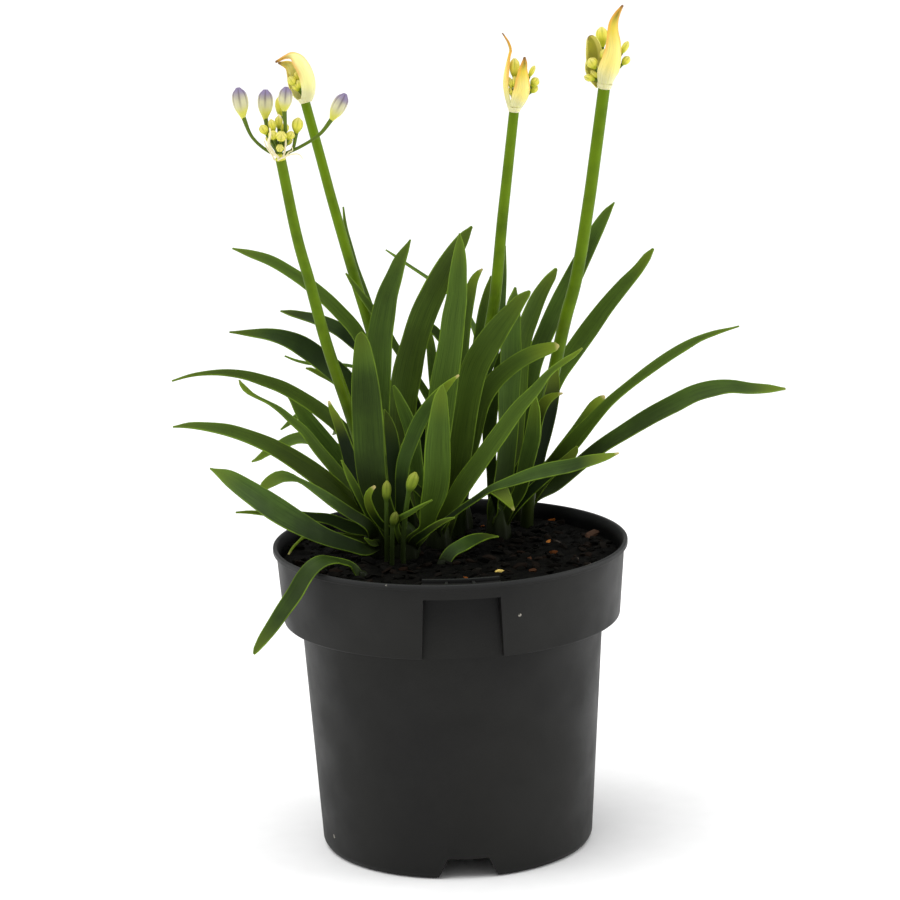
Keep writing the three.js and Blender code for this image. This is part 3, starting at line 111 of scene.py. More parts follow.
def named(name: str) -> Object:
    """Gives the active object and its data a name.

    Args:
        name: The new name.

    Returns:
        The active object.
    """
    piece = bpy.context.view_layer.objects.active
    piece.name = name
    piece.data.name = name
    return piece


@contextmanager
def editing(piece: Object, kind: str = "", test: Callable[..., bool] | None = None) -> Iterator[None]:
    """Opens a piece in edit mode with what passes a test selected, and closes it at the end.

    Args:
        piece: The piece to edit.
        kind: What the test picks from: polygons or vertices.
        test: Tells whether one of them is selected. Without it, all of the mesh is.
    """
    only(piece)
    bpy.ops.object.mode_set(mode="EDIT")
    bpy.ops.mesh.select_all(action="DESELECT" if test else "SELECT")
    if test:
        bpy.ops.object.mode_set(mode="OBJECT")
        for element in getattr(piece.data, kind):
            element.select = test(element)
        bpy.ops.object.mode_set(mode="EDIT")
    yield
    bpy.ops.object.mode_set(mode="OBJECT")


def close_seams() -> None:
    """Merges the doubles of the mesh that is open for editing, and turns its faces outwards."""
    bpy.ops.mesh.remove_doubles(threshold=1e-6)
    bpy.ops.mesh.normals_make_consistent(inside=False)


def apply_place(piece: Object) -> Object:
    """Moves a piece's place, turn and scale into its mesh.

    Args:
        piece: The piece.

    Returns:
        The same piece, its object at the origin.
    """
    only(piece)
    bpy.ops.object.transform_apply(location=True, rotation=True, scale=True)
    return piece


def joined(name: str, parts: Sequence[Object]) -> Object:
    """Joins parts into one piece.

    Args:
        name: The joined piece's name.
        parts: The parts. The first gives its material slots first.

    Returns:
        The joined piece.
    """
    only(parts[0])
    for part in parts[1:]:
        part.select_set(True)
    if len(parts) > 1:
        bpy.ops.object.join()
    return named(name)


def finish_modifier(piece: Object, kind: str, **settings: object) -> None:
    """Adds a modifier, sets it and applies it.

    Args:
        piece: The piece to change.
        kind: Blender's name for the kind of modifier.
        **settings: Its properties.
    """
    only(piece)
    modifier = piece.modifiers.new(kind.title(), kind)
    for key, value in settings.items():
        setattr(modifier, key, value)
    bpy.ops.object.modifier_apply(modifier=modifier.name)


def combine(piece: Object, operation: str, tool: Object) -> None:
    """Joins a closed form to a piece, cuts it away or keeps what they share, and removes the form.

    Args:
        piece: The piece to change.
        operation: UNION, DIFFERENCE or INTERSECT.
        tool: The form.
    """
    finish_modifier(piece, "BOOLEAN", operation=operation, object=tool, solver="EXACT")
    bpy.data.objects.remove(tool)


def smooth(piece: Object, angle: float) -> Object:
    """Shades a piece smooth, with creases where faces meet at a larger angle.

    Args:
        piece: The piece.
        angle: The largest smooth angle in degrees.

    Returns:
        The same piece.
    """
    only(piece)
    bpy.ops.object.shade_smooth_by_angle(angle=math.radians(angle))
    return piece


def turned(name: str, rings: Sequence[Pair], sides: int) -> Object:
    """Turns a closed form: a circle is extruded and scaled from ring to ring, and both ends are closed.

    Args:
        name: The piece's name.
        rings: Radius and height of each ring in mm, along the profile.
        sides: Sides of the form.

    Returns:
        The turned piece, standing on the frame's origin.
    """
    start_clean()
    bpy.ops.mesh.primitive_circle_add(vertices=sides, radius=rings[0][0] * MM, fill_type="NOTHING")
    piece = named(name)
    with editing(piece):
        bpy.ops.transform.translate(value=(0, 0, rings[0][1] * MM))
        for (radius, height), (next_radius, next_height) in pairwise(rings):
            rise = {"value": (0, 0, (next_height - height) * MM)}
            bpy.ops.mesh.extrude_region_move(TRANSFORM_OT_translate=rise)
            grow = next_radius / radius
            bpy.ops.transform.resize(value=(grow, grow, 1), center_override=(0, 0, next_height * MM))
        bpy.ops.mesh.select_all(action="SELECT")
        bpy.ops.mesh.fill_holes(sides=0)
        bpy.ops.mesh.select_all(action="DESELECT")
        bpy.ops.mesh.select_face_by_sides(number=4, type="GREATER")
        bpy.ops.mesh.poke()
        bpy.ops.mesh.select_all(action="SELECT")
        bpy.ops.mesh.normals_make_consistent(inside=False)
    return piece


def vertices(piece: Object) -> np.ndarray:
    """Reads a mesh's vertices.

    Args:
        piece: The piece.

    Returns:
        The vertices in metres, one a row.
    """
    places = np.zeros(len(piece.data.vertices) * 3)
    piece.data.vertices.foreach_get("co", places)
    return places.reshape(-1, 3)


def set_vertices(piece: Object, places: np.ndarray) -> None:
    """Moves a mesh's vertices to new places, in metres and one a row."""
    piece.data.vertices.foreach_set("co", places.ravel())
    piece.data.update()


def flute(piece: Object, width: Callable[[np.ndarray], np.ndarray]) -> None:
    """Presses grooves or raises ribs down a turned form that stands on the frame's origin.

    Args:
        piece: The form.
        width: Takes directions in radians and gives how many times wider the form gets there.
    """
    places = vertices(piece)
    places[:, :2] *= width(np.arctan2(places[:, 1], places[:, 0]))[:, None]
    set_vertices(piece, places)


def copied(master: Object, name: str, matrix: Matrix) -> Object:
    """Copies a master form with its own mesh.

    Args:
        master: The form to copy.
        name: The copy's name.
        matrix: Where the copy goes.

    Returns:
        The copy, its place in its mesh.
    """
    only(master)
    bpy.ops.object.duplicate(linked=False)
    copy = named(name)
    copy.data.transform(matrix)
    return copy


def carry(piece: Object, **numbers: np.ndarray | float) -> Object:
    """Writes numbers at a piece's vertices, for its finish to read.

    Args:
        piece: The piece.
        **numbers: Under each name, one number a vertex or one for all.

    Returns:
        The same piece.
    """
    mesh = piece.data
    for name, values in numbers.items():
        layer = mesh.attributes.get(name) or mesh.attributes.new(name, "FLOAT", "POINT")
        filled = np.broadcast_to(np.asarray(values, dtype=np.float32), (len(mesh.vertices),))
        layer.data.foreach_set("value", np.ascontiguousarray(filled))
    return piece


def carried(piece: Object, name: str) -> np.ndarray:
    """Reads the numbers that a piece carries.

    Args:
        piece: The piece.
        name: The numbers' name.

    Returns:
        One number a vertex.
    """
    values = np.zeros(len(piece.data.vertices))
    piece.data.attributes[name].data.foreach_get("value", values)
    return values


def dress(piece: Object, material: Material) -> Object:
    """Gives a piece its material.

    Args:
        piece: The piece.
        material: The material.

    Returns:
        The same piece.
    """
    piece.data.materials.clear()
    piece.data.materials.append(material)
    return piece


def stand_for(piece: Object, node: str) -> None:
    """Hands a finished piece to the frame and reports it.

    Args:
        piece: The piece.
        node: The model's node that it stands for.
    """
    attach(piece, BODY)
    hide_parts(node)
    LOG.info("%s stands for %s with %d faces", piece.name, node, len(piece.data.polygons))


# ---------------------------------------------------------------- lines and shared forms


def unit(vector: Numbers) -> np.ndarray:
    """Gives a vector a length of one."""
    array = np.asarray(vector, dtype=float)
    return array / np.linalg.norm(array)


def upright(foot: Numbers, along: Numbers, size: Numbers = (1, 1, 1)) -> Matrix:
    """Gives the place of a form that stands on a foot along a line.

    Args:
        foot: The foot in mm.
        along: The form's axis.
        size: How far the form is stretched along its own axes.

    Returns:
        The matrix that moves the form there.
    """
    turn = Vector((0, 0, 1)).rotation_difference(Vector(along))
    return Matrix.LocRotScale(Vector(foot) * MM, turn, Vector(size))


class Spine:
    """A smooth line through points, read by the share of its length."""

    SAMPLES = 24
    REACH = 0.004

    def __init__(self, points: Sequence[Numbers]) -> None:
        """Fits the line.

        Args:
            points: The points in mm.
        """
        knots = np.array([point[:3] for point in points], dtype=float)
        self.last = len(knots) - 1
        self.steps = np.linspace(0, self.last, self.last * self.SAMPLES + 1)
        self.places = np.array([self._between(knots, step) for step in self.steps])
        lengths = np.linalg.norm(np.diff(self.places, axis=0), axis=1)
        self.run = np.concatenate([[0.0], np.cumsum(lengths)])
        self.length = float(self.run[-1])

    def _between(self, knots: np.ndarray, step: float) -> np.ndarray:
        """Gives the line's point at a step, by a centripetal spline through four knots.

        Args:
            knots: All the knots.
            step: The knot's number, with the share of the way to the next.

        Returns:
            The point in mm.
        """
        i = min(int(step), self.last - 1)
        w = step - i
        before = knots[i - 1] if i > 0 else 2 * knots[0] - knots[1]
        after = knots[i + 2] if i + 2 <= self.last else 2 * knots[-1] - knots[-2]
        row = [before, knots[i], knots[i + 1], after]
        d0, d1, d2 = (max(np.linalg.norm(b - a) ** 0.5, 1e-4) for a, b in pairwise(row))
        leave = (row[1] - row[0]) / d0 - (row[2] - row[0]) / (d0 + d1) + (row[2] - row[1]) / d1
        reach = (row[2] - row[1]) / d1 - (row[3] - row[1]) / (d1 + d2) + (row[3] - row[2]) / d2
        leave, reach = leave * d1, reach * d1
        cubic = 2 * row[1] - 2 * row[2] + leave + reach
        square = -3 * row[1] + 3 * row[2] - 2 * leave - reach
        return row[1] + leave * w + square * w**2 + cubic * w**3

    def at(self, share: float) -> np.ndarray:
        """Gives the point at a share of the length."""
        distance = share * self.length
        return np.array([np.interp(distance, self.run, self.places[:, k]) for k in range(3)])

    def along(self, share: float) -> np.ndarray:
        """Gives the line's direction at a share of the length."""
        step = self.at(min(1.0, share + self.REACH)) - self.at(max(0.0, share - self.REACH))
        return step / np.linalg.norm(step)

    def station(self, share: float) -> float:
        """Gives the knots' count passed at a share of the length."""
        return float(np.interp(share * self.length, self.run, self.steps))


def flowing(values: Numbers, step: float) -> float:
    """Reads a smooth curve through evenly spaced values.

    Args:
        values: The values.
        step: Where to read, in values passed.

    Returns:
        The smoothed value.
    """
    last = len(values) - 1
    i = min(int(step), last)
    w = step - i
    a, b = values[max(i - 1, 0)], values[i]
    c, d = values[min(i + 1, last)], values[min(i + 2, last)]
    leave, reach = (c - a) / 2, (d - b) / 2
    cubic = (2 * b - 2 * c + leave + reach) * w**3
    return cubic + (-3 * b + 3 * c - 2 * leave - reach) * w**2 + leave * w + b


def tube(name: str, path: Sequence[Point], radii: Numbers, steps: int, fine: int) -> Object:
    """Draws a round stalk along a smooth line.

    Args:
        name: The piece's name.
        path: The line's points in mm.
        radii: Radii in mm, evenly spaced from foot to top.
        steps: Rings along the stalk.
        fine: Roundness, from 1 up.

    Returns:
        The stalk as a closed mesh.
    """
    start_clean()
    spine = Spine(path)
    bpy.ops.curve.primitive_bezier_curve_add()
    curve = bpy.context.view_layer.objects.active.data
    curve.splines.clear()
    line = curve.splines.new("POLY")
    line.points.add(steps)
    for i, point in enumerate(line.points):
        share = i / steps
        point.co = (*(spine.at(share) * MM), 1)
        point.radius = flowing(radii, share * (len(radii) - 1))
    curve.dimensions = "3D"
    curve.bevel_depth = MM
    curve.bevel_resolution = fine
    curve.use_fill_caps = True
    bpy.ops.object.convert(target="MESH")
    piece = named(name)
    with editing(piece):
        close_seams()
    return apply_place(piece)


def rounded(profile: Sequence[Pair], radius: float, steps: int = 3) -> list[Pair]:
    """Rounds the corners of a profile.

    Args:
        profile: Radius and height of each corner in mm.
        radius: The corner's radius in mm, less where a side is short.
        steps: Sides of each rounded corner.

    Returns:
        The profile with each inner corner cut into short sides.
    """
    corners = [Vector(corner) for corner in profile]
    rings = [profile[0]]
    for before, corner, after in zip(corners, corners[1:], corners[2:]):
        reach = min(radius, 0.4 * (before - corner).length, 0.4 * (after - corner).length)
        start = corner + (before - corner).normalized() * reach
        end = corner + (after - corner).normalized() * reach
        for i in range(steps + 1):
            share = i / steps
            rings.append(tuple(start.lerp(corner, share).lerp(corner.lerp(end, share), share)))
    return [*rings, profile[-1]]


def ring_sector(inner: float, outer: float, foot: float, top: float, half: float, spread: float = 0.0,
                facing: float = PANEL_FACING) -> Object:
    """Spins an upright rectangle into a curved block.

    Args:
        inner: Inner radius in mm.
        outer: Outer radius in mm.
        foot: Lower height in mm.
        top: Upper height in mm.
        half: Half of its angle in radians.
        spread: Half of its angle at the foot, where it is wider there.
        facing: The direction of its middle in radians.

    Returns:
        The closed block.
    """
    start_clean()
    middle = ((inner + outer) / 2 * MM, 0, (foot + top) / 2 * MM)
    bpy.ops.mesh.primitive_plane_add(size=MM, location=middle, rotation=(math.pi / 2, 0, 0))
    bpy.ops.transform.resize(value=(outer - inner, 1, top - foot), center_override=middle)
    block = apply_place(named("curved_block"))
    with editing(block):
        bpy.ops.mesh.spin(steps=14, angle=2 * half, center=(0, 0, 0), axis=(0, 0, 1))
        bpy.ops.mesh.select_all(action="SELECT")
        bpy.ops.mesh.normals_make_consistent(inside=False)
    angles = [math.atan2(vertex.co.y, vertex.co.x) for vertex in block.data.vertices]
    block.data.transform(Matrix.Rotation(facing - sum(angles) / len(angles), 4, "Z"))
    if spread:
        with editing(block, "vertices", lambda vertex: vertex.co.z < (foot + 0.1) * MM):
            middle = (inner * math.cos(facing) * MM, 0, 0)
            bpy.ops.transform.resize(value=(spread / half, 1, 1), center_override=middle)
    return block


def ribbon(name: str, path: Sequence[Point], widths: Numbers, cup: float, faces: tuple[Point, Point],
           shares: Numbers, columns: int) -> Object:
    """Lays a grid along a smooth line, as wide as its stations say and with its margins turned up.

    Args:
        name: The piece's name.
        path: The line's points in mm.
        widths: The width in mm at each point.
        cup: How far the margins rise for each mm of width.
        faces: Where the upper face looks at the root and at the tip.
        shares: Where the rows lie, as shares of the length.
        columns: Strips across.

    Returns:
        The sheet. Its vertices carry across, along, root, tip and margin.
    """
    spine = Spine(path)
    start_clean()
    bpy.ops.mesh.primitive_grid_add(x_subdivisions=columns, y_subdivisions=len(shares) - 1, size=2)
    sheet = named(name)
    first, last = (unit(face) for face in faces)
    blunt = max(1.3, widths[-1] / 2)
    rows = []
    for share in shares:
        along = spine.along(share)
        side = unit(np.cross(along, first * (1 - share) + last * share))
        width = max(0.9, flowing(widths, spine.station(share)))
        left = (1 - share) * spine.length
        if left < blunt:
            width = min(width, 2 * math.sqrt(max(left * (2 * blunt - left), 0.012)))
        rows.append((spine.at(share), side, np.cross(side, along), width, share))
    flat = vertices(sheet)
    across = flat[:, 0]
    row = np.rint((flat[:, 1] + 1) / 2 * (len(shares) - 1)).astype(int)
    centre, side, out, width, share = (np.array([entry[k] for entry in rows])[row] for k in range(5))
    shaped = centre + side * (across * width / 2)[:, None] + out * (cup * width * across**2)[:, None]
    set_vertices(sheet, shaped * MM)
    carry(sheet, across=across, along=share, root=share * spine.length, tip=(1 - share) * spine.length)
    return carry(sheet, margin=(1 - np.abs(across)) * width / 2)


def thicken(sheet: Object, middle: float, margin: float) -> Object:
    """Gives a ribbon its thickness, less towards its margins and its tip.

    Args:
        sheet: The ribbon.
        middle: Thickness in mm along its middle.
        margin: Thickness in mm at its margins.

    Returns:
        The closed blade.
    """
    body = 1 - carried(sheet, "across") ** 2
    taper = np.minimum(1, 0.2 + carried(sheet, "tip") / 8)
    group = sheet.vertex_groups.new(name="body")
    for i, weight in enumerate((margin + (middle - margin) * body * taper) / middle):
        group.add([i], float(weight), "REPLACE")
    settings = {"thickness": middle * MM, "offset": 0.0, "vertex_group": "body", "use_rim": True}
    finish_modifier(sheet, "SOLIDIFY", **settings)
    sheet.vertex_groups.clear()
    return smooth(sheet, 70)


# ---------------------------------------------------------------- finishes


Source = NodeSocket | float | Sequence[float]
Inputs = dict[str | int, Source]


class Fade(NamedTuple):
    """A smooth change: over a range from low to high, the result goes from start to end."""

    low: float
    high: float
    start: float = 0.0
    end: float = 1.0


class Bench:
    """Lays out one node tree."""

    def __init__(self, tree: NodeTree) -> None:
        """Takes the tree to fill."""
        self.tree = tree

    def add(self, kind: str, inputs: Inputs | None = None, **settings: object) -> Node:
        """Adds a node.

        Args:
            kind: The node's type.
            inputs: Values or sockets for its inputs, by name or number.
            **settings: The node's properties.

        Returns:
            The node.
        """
        node = self.tree.nodes.new(kind)
        for key, value in settings.items():
            setattr(node, key, value)
        for key, value in (inputs or {}).items():
            self.feed(node.inputs[key], value)
        return node

    def feed(self, socket: NodeSocket, value: Source) -> None:
        """Joins a socket to another, or sets its value.

        Args:
            socket: The socket.
            value: The other socket, or the value.
        """
        if isinstance(value, NodeSocket):
            self.tree.links.new(value, socket)
        else:
            socket.default_value = value

    def maths(self, operation: str, *values: Source) -> NodeSocket:
        """Adds a Math node.

        Args:
            operation: Its operation.
            *values: Its inputs in order.

        Returns:
            Its result.
        """
        return self.add("ShaderNodeMath", dict(enumerate(values)), operation=operation).outputs[0]

    def times(self, first: Source, second: Source) -> NodeSocket:
        """Multiplies two values."""
        return self.maths("MULTIPLY", first, second)

    def ramp(self, value: Source, fade: Fade) -> NodeSocket:
        """Turns a value's range smoothly into another and clamps it.

        Args:
            value: What is mapped.
            fade: The ranges.

        Returns:
            The mapped value.
        """
        inputs = dict(zip(("From Min", "From Max", "To Min", "To Max"), fade))
        node = self.add("ShaderNodeMapRange", {"Value": value, **inputs}, interpolation_type="SMOOTHSTEP")
        return node.outputs["Result"]

    def blend(self, factor: Source, first: Source, second: Source) -> NodeSocket:
        """Mixes two colours.

        Args:
            factor: The second colour's share.
            first: The first colour.
            second: The second colour.

        Returns:
            The mixed colour.
        """
        return self.add("ShaderNodeMix", {0: factor, 6: first, 7: second}, data_type="RGBA").outputs[2]

    def coated(self, skin: NodeSocket, *coats: tuple[Source, Source]) -> NodeSocket:
        """Lays colours over a skin, one after the other.

        Args:
            skin: The colour underneath.
            *coats: How much of each coat shows, and its colour.

        Returns:
            The colour of it all.
        """
        for share, colour in coats:
            skin = self.blend(share, skin, colour)
        return skin

    def noise(self, vector: Source, scale: Source, detail: float = 3.0, rough: float = 0.5) -> NodeSocket:
        """Adds a noise pattern.

        Args:
            vector: Where it is read.
            scale: Its scale.
            detail: Its finer layers.
            rough: Their strength.

        Returns:
            The noise's value.
        """
        inputs = {"Vector": vector, "Scale": scale, "Detail": detail, "Roughness": rough}
        return self.add("ShaderNodeTexNoise", inputs).outputs["Fac"]

    def attribute(self, name: str) -> NodeSocket:
        """Reads a number that the piece carries at each vertex."""
        return self.add("ShaderNodeAttribute", attribute_name=name).outputs["Fac"]

    def place(self) -> NodeSocket:
        """Reads the surface's place on the object."""
        return self.add("ShaderNodeTexCoord").outputs["Object"]

    def height(self) -> NodeSocket:
        """Reads the surface's height above the floor, in metres."""
        return self.add("ShaderNodeSeparateXYZ", {0: self.place()}).outputs[2]

    def group(self, tree: NodeTree, **inputs: Source) -> NodeSocket:
        """Places a shared group in the tree.

        Args:
            tree: The group.
            **inputs: Values or sockets for its inputs, by name.

        Returns:
            The group's result.
        """
        node = self.add("ShaderNodeGroup", node_tree=tree)
        for key, value in inputs.items():
            self.feed(node.inputs[key], value)
        return node.outputs[0]

    def bump(self, height: Source, strength: float, reach: float) -> NodeSocket:
        """Turns a height pattern into a surface normal.

        Args:
            height: The pattern.
            strength: How strongly it shows.
            reach: Its depth in metres.

        Returns:
            The normal.
        """
        inputs = {"Strength": strength, "Distance": reach, "Height": height}
        return self.add("ShaderNodeBump", inputs).outputs["Normal"]

    def surface(self, colour: Source, normal: Source | None, roughness: Source, specular: float,
                glow: float = 0.0, glow_reach: Point = (1.0, 0.2, 0.1)) -> None:
        """Ends a material with its shader.

        Args:
            colour: The surface's colour.
            normal: Its normal, where it has relief.
            roughness: Its roughness.
            specular: The level of its reflections.
            glow: How much light passes under the surface.
            glow_reach: How far red, green and blue light go there, in metres.
        """
        inputs = {"Base Color": colour, "Roughness": roughness, "Specular IOR Level": specular}
        inputs |= {"Subsurface Weight": glow, "Subsurface Radius": glow_reach}
        if normal is not None:
            inputs["Normal"] = normal
        shader = self.add("ShaderNodeBsdfPrincipled", inputs)
        self.add("ShaderNodeOutputMaterial", {"Surface": shader.outputs[0]})


def new_material(name: str) -> tuple[Material, Bench]:
    """Makes an empty node material.

    Args:
        name: Its name.

    Returns:
        The material and the bench to lay it out on.
    """
    material = bpy.data.materials.new(name)
    material.use_nodes = True
    material.node_tree.nodes.clear()
    return material, Bench(material.node_tree)


def new_group(
    name: str, inputs: dict[str, object], result: str
) -> tuple[Bench, dict[str, NodeSocket], NodeSocket]:
    """Starts a node group that finishes share.

    Args:
        name: The group's name.
        inputs: Input names with a default each: a number, or a tuple for a vector or colour.
        result: Its output: Color, Value or Mask.

    Returns:
        The bench to lay it out on, its inputs by name, and the socket that takes its result.
    """
    tree = bpy.data.node_groups.new(name, "ShaderNodeTree")
    kinds = {3: "NodeSocketVector", 4: "NodeSocketColor"}
    for key, value in inputs.items():
        kind = kinds[len(value)] if isinstance(value, tuple) else "NodeSocketFloat"
        tree.interface.new_socket(key, in_out="INPUT", socket_type=kind).default_value = value
    kind = "NodeSocketColor" if result == "Color" else "NodeSocketFloat"
    tree.interface.new_socket(result, in_out="OUTPUT", socket_type=kind)
    bench = Bench(tree)
    entry = bench.add("NodeGroupInput")
    given = {key: entry.outputs[key] for key in inputs}
    return bench, given, bench.add("NodeGroupOutput").inputs[result]


@cache
def cloudy_colour() -> NodeTree:
    """Makes the group of two colours that run into each other in soft patches.

    Returns:
        The group.
    """
    grey = (0.5, 0.5, 0.5, 1.0)
    inputs = {"Vector": (0.0, 0.0, 0.0), "Scale": 20.0, "Depth": 1.0, "Balance": 0.0}
    inputs |= {"Deep": grey, "Fresh": grey}
    bench, given, out = new_group("Cloudy colour", inputs, "Color")
    patch = bench.maths("SUBTRACT", bench.noise(given["Vector"], given["Scale"], 4.0), 0.5)
    swing = bench.maths("MULTIPLY_ADD", patch, given["Depth"], 0.5)
    spread = bench.ramp(bench.maths("ADD", swing, given["Balance"]), Fade(0.3, 0.72))
    bench.feed(out, bench.blend(spread, given["Deep"], given["Fresh"]))
    return bench.tree


@cache
def lengthwise_veins() -> NodeTree:
    """Makes the group of fine lines that run along a blade.

    Returns:
        The group.
    """
    bench, given, out = new_group("Lengthwise veins", {"Across": 0.0, "Along": 0.0, "Count": 14.0}, "Value")
    wide, long = bench.times(given["Across"], given["Count"]), bench.times(given["Along"], 1.6)
    seat = bench.add("ShaderNodeCombineXYZ", {0: wide, 1: long}).outputs[0]
    bench.feed(out, bench.noise(seat, 1.0, 3.0, 0.6))
    return bench.tree


@cache
def sparse_specks() -> NodeTree:
    """Makes the group of sparse small round specks.

    Returns:
        The group.
    """
    inputs = {"Vector": (0.0, 0.0, 0.0), "Scale": 100.0, "Size": 0.1, "Share": 0.2}
    bench, given, out = new_group("Sparse specks", inputs, "Mask")
    cell = bench.add("ShaderNodeTexVoronoi", {"Vector": given["Vector"], "Scale": given["Scale"]})
    dot = bench.maths("LESS_THAN", cell.outputs["Distance"], given["Size"])
    pick = bench.add("ShaderNodeSeparateColor", {0: cell.outputs["Color"]}).outputs[0]
    bench.feed(out, bench.times(dot, bench.maths("LESS_THAN", pick, given["Share"])))
    return bench.tree


@dataclass(frozen=True)
class MouldedPlastic:
    """Dark recycled plastic of a nursery pot, with dust and small scuffs, painted shade in its hollows and a
    painted highlight on its upper edges.
    """

    deep: Colour = tint(18, 18, 17)
    fresh: Colour = tint(27, 27, 25)
    dust: Colour = tint(150, 146, 136)
    # Painted shade on the wall inside under the lip and on the recess's floor.
    hollow: Colour = tint(4, 4, 4)
    painted_shade_share: float = 0.95
    # Painted highlight on the lip's bead and the pad's upper edges.
    rubbed: Colour = tint(78, 80, 82)
    rubbed_share: float = 0.12
    broken: Fade = Fade(0.4, 0.6)
    worn: Fade = Fade(0.3, 0.7, 0.46, 0.6)
    specular: float = 0.17

    def build(self) -> Material:
        """Makes the material from what the pot carries: where it gets painted shade and a painted highlight.

        Returns:
            The material.
        """
        material, bench = new_material("pot_plastic")
        place = bench.place()
        scuff = bench.group(sparse_specks(), Vector=place, Scale=55.0, Size=0.07, Share=0.12)
        # Coats: painted shade where the pot carries sunk, and a painted highlight on the lip and the pad's
        # upper edges.
        colour = bench.coated(
            bench.group(cloudy_colour(), Vector=place, Scale=14.0, Deep=self.deep, Fresh=self.fresh),
            (bench.times(bench.attribute("sunk"), self.painted_shade_share), self.hollow),
            (bench.times(bench.attribute("rubbed"), self.rubbed_share), self.rubbed),
            (bench.times(scuff, bench.ramp(bench.noise(place, 900.0), self.broken)), self.dust),
        )
        wear = bench.ramp(bench.noise(place, 30.0, 5.0), self.worn)
        normal = bench.bump(bench.noise(place, 1500.0, 2.0), 0.25, 0.0002)
        bench.surface(colour, normal, wear, self.specular)
        return material


@dataclass(frozen=True)
class PottingSoil:
    """Peat and composted bark, near black, with brighter crumbs."""

    peat: Colour = tint(2, 2, 1)
    bark: Colour = tint(12, 11, 8)
    grey_chip: Colour = tint(104, 98, 90)
    orange_chip: Colour = tint(190, 108, 44)
    gold_chip: Colour = tint(232, 204, 112)
    roughness: float = 0.85
    specular: float = 0.05

    def build(self) -> Material:
        """Makes the material. Each chip carries its own brightness and warmth.

        Returns:
            The material.
        """
        material, bench = new_material("potting_soil")
        place, warm = bench.place(), bench.attribute("warm")
        brown = {"Balance": -0.05, "Deep": self.peat, "Fresh": self.bark}
        peaty = bench.group(cloudy_colour(), Vector=place, Scale=160.0, **brown)
        orange = bench.blend(bench.ramp(warm, Fade(0.0, 1.0)), self.grey_chip, self.orange_chip)
        chip = bench.blend(bench.ramp(warm, Fade(1.0, 2.0)), orange, self.gold_chip)
        colour = bench.blend(bench.attribute("bright"), peaty, chip)
        normal = bench.bump(bench.noise(place, 900.0, 5.0, 0.7), 0.6, 0.0008)
        bench.surface(colour, normal, self.roughness, self.specular)
        return material


@dataclass(frozen=True)
class LeafSkin:
    """Satin strap leaf: veined green with a bright margin, riper at the tip and pale at the root, with painted
    shade low in the clump and on leaves that lie in shade.

    Heights are in metres, and distances from a blade's root, tip and margins in mm.
    """

    deep: Colour = tint(23, 37, 11)
    fresh: Colour = tint(82, 112, 41)
    tone_depth: float = 0.32
    lit: Fade = Fade(0.17, 0.26, -0.36, 0.02)
    olive: Colour = tint(73, 90, 12)
    olive_share: float = 0.5
    keel: Colour = tint(30, 44, 10)
    keel_across: Fade = Fade(0.1, 0.8, 0.22, 0.0)
    shaded: Colour = tint(14, 24, 8)
    shaded_tone: Fade = Fade(-1.2, -0.4, 0.45, 0.0)
    vein_count: float = 21.0
    veined: Fade = Fade(0.38, 0.7, 0.0, 0.5)
    ripe: Colour = tint(122, 142, 34)
    ripe_tip: Fade = Fade(0.0, 26.0, 0.8, 0.0)
    margin: Colour = tint(116, 146, 38)
    margin_edge: Fade = Fade(0.12, 0.68, 0.7, 0.0)
    margin_patches: Fade = Fade(0.35, 0.65, 0.45, 1.0)
    withered: Colour = tint(186, 172, 112)
    withered_tip: Fade = Fade(0.5, 3.2, 1.0, 0.0)
    withered_ripe: Fade = Fade(0.5, 0.95)
    root: Colour = tint(52, 62, 22)
    root_foot: Fade = Fade(6.0, 24.0, 0.6, 0.0)
    # Painted shade: darker near the soil, where the clump shades the blades.
    painted_base_shade: Colour = tint(13, 17, 6)
    base_shade_height: Fade = Fade(0.17, 0.205, 0.92, 0.0)
    base_shade_foot: Fade = Fade(8.0, 28.0, 1.0, 0.0)
    spot: Colour = tint(48, 34, 20)
    spot_share: float = 0.7
    worn: Fade = Fade(0.3, 0.7, 0.41, 0.54)
    specular: float = 0.09

    def build(self) -> Material:
        """Makes the material from what each blade's vertices carry.

        Returns:
            The material.
        """
        material, bench = new_material("leaf_skin")
        place, height = bench.place(), bench.height()
        across, root, tip, ripe, tone = map(bench.attribute, ("across", "root", "tip", "ripe", "tone"))
        # Each leaf's tone also carries painted shade for leaves that lie in shade.
        balance = bench.maths("MULTIPLY_ADD", tone, self.tone_depth, bench.ramp(height, self.lit))
        green = {"Balance": balance, "Deep": self.deep, "Fresh": self.fresh}
        lines = {"Across": across, "Along": bench.times(root, 0.02), "Count": self.vein_count}
        veins = bench.group(lengthwise_veins(), **lines)
        edge = bench.ramp(bench.attribute("margin"), self.margin_edge)
        patchy = bench.ramp(bench.noise(place, 90.0, 2.0), self.margin_patches)
        dry = bench.times(bench.ramp(tip, self.withered_tip), bench.ramp(ripe, self.withered_ripe))
        # Painted shade low down and near each blade's root.
        base_shaded = bench.times(bench.ramp(height, self.base_shade_height), bench.ramp(root, self.base_shade_foot))
        spots = bench.group(sparse_specks(), Vector=place, Scale=42.0, Size=0.04, Share=0.08)
        skin = bench.coated(
            bench.group(cloudy_colour(), Vector=place, Scale=26.0, Depth=0.5, **green),
            (bench.times(bench.attribute("olive"), self.olive_share), self.olive),
            (bench.ramp(bench.maths("ABSOLUTE", across), self.keel_across), self.keel),
            (bench.ramp(tone, self.shaded_tone), self.shaded),
            (bench.ramp(veins, self.veined), self.deep),
            (bench.times(bench.ramp(tip, self.ripe_tip), ripe), self.ripe),
            (bench.times(edge, patchy), self.margin),
            (dry, self.withered),
            (bench.ramp(root, self.root_foot), self.root),
            (base_shaded, self.painted_base_shade),
            (bench.times(spots, self.spot_share), self.spot),
        )
        wear = bench.ramp(bench.noise(place, 60.0), self.worn)
        normal = bench.bump(veins, 0.22, 0.0004)
        bench.surface(skin, normal, wear, self.specular)
        return material


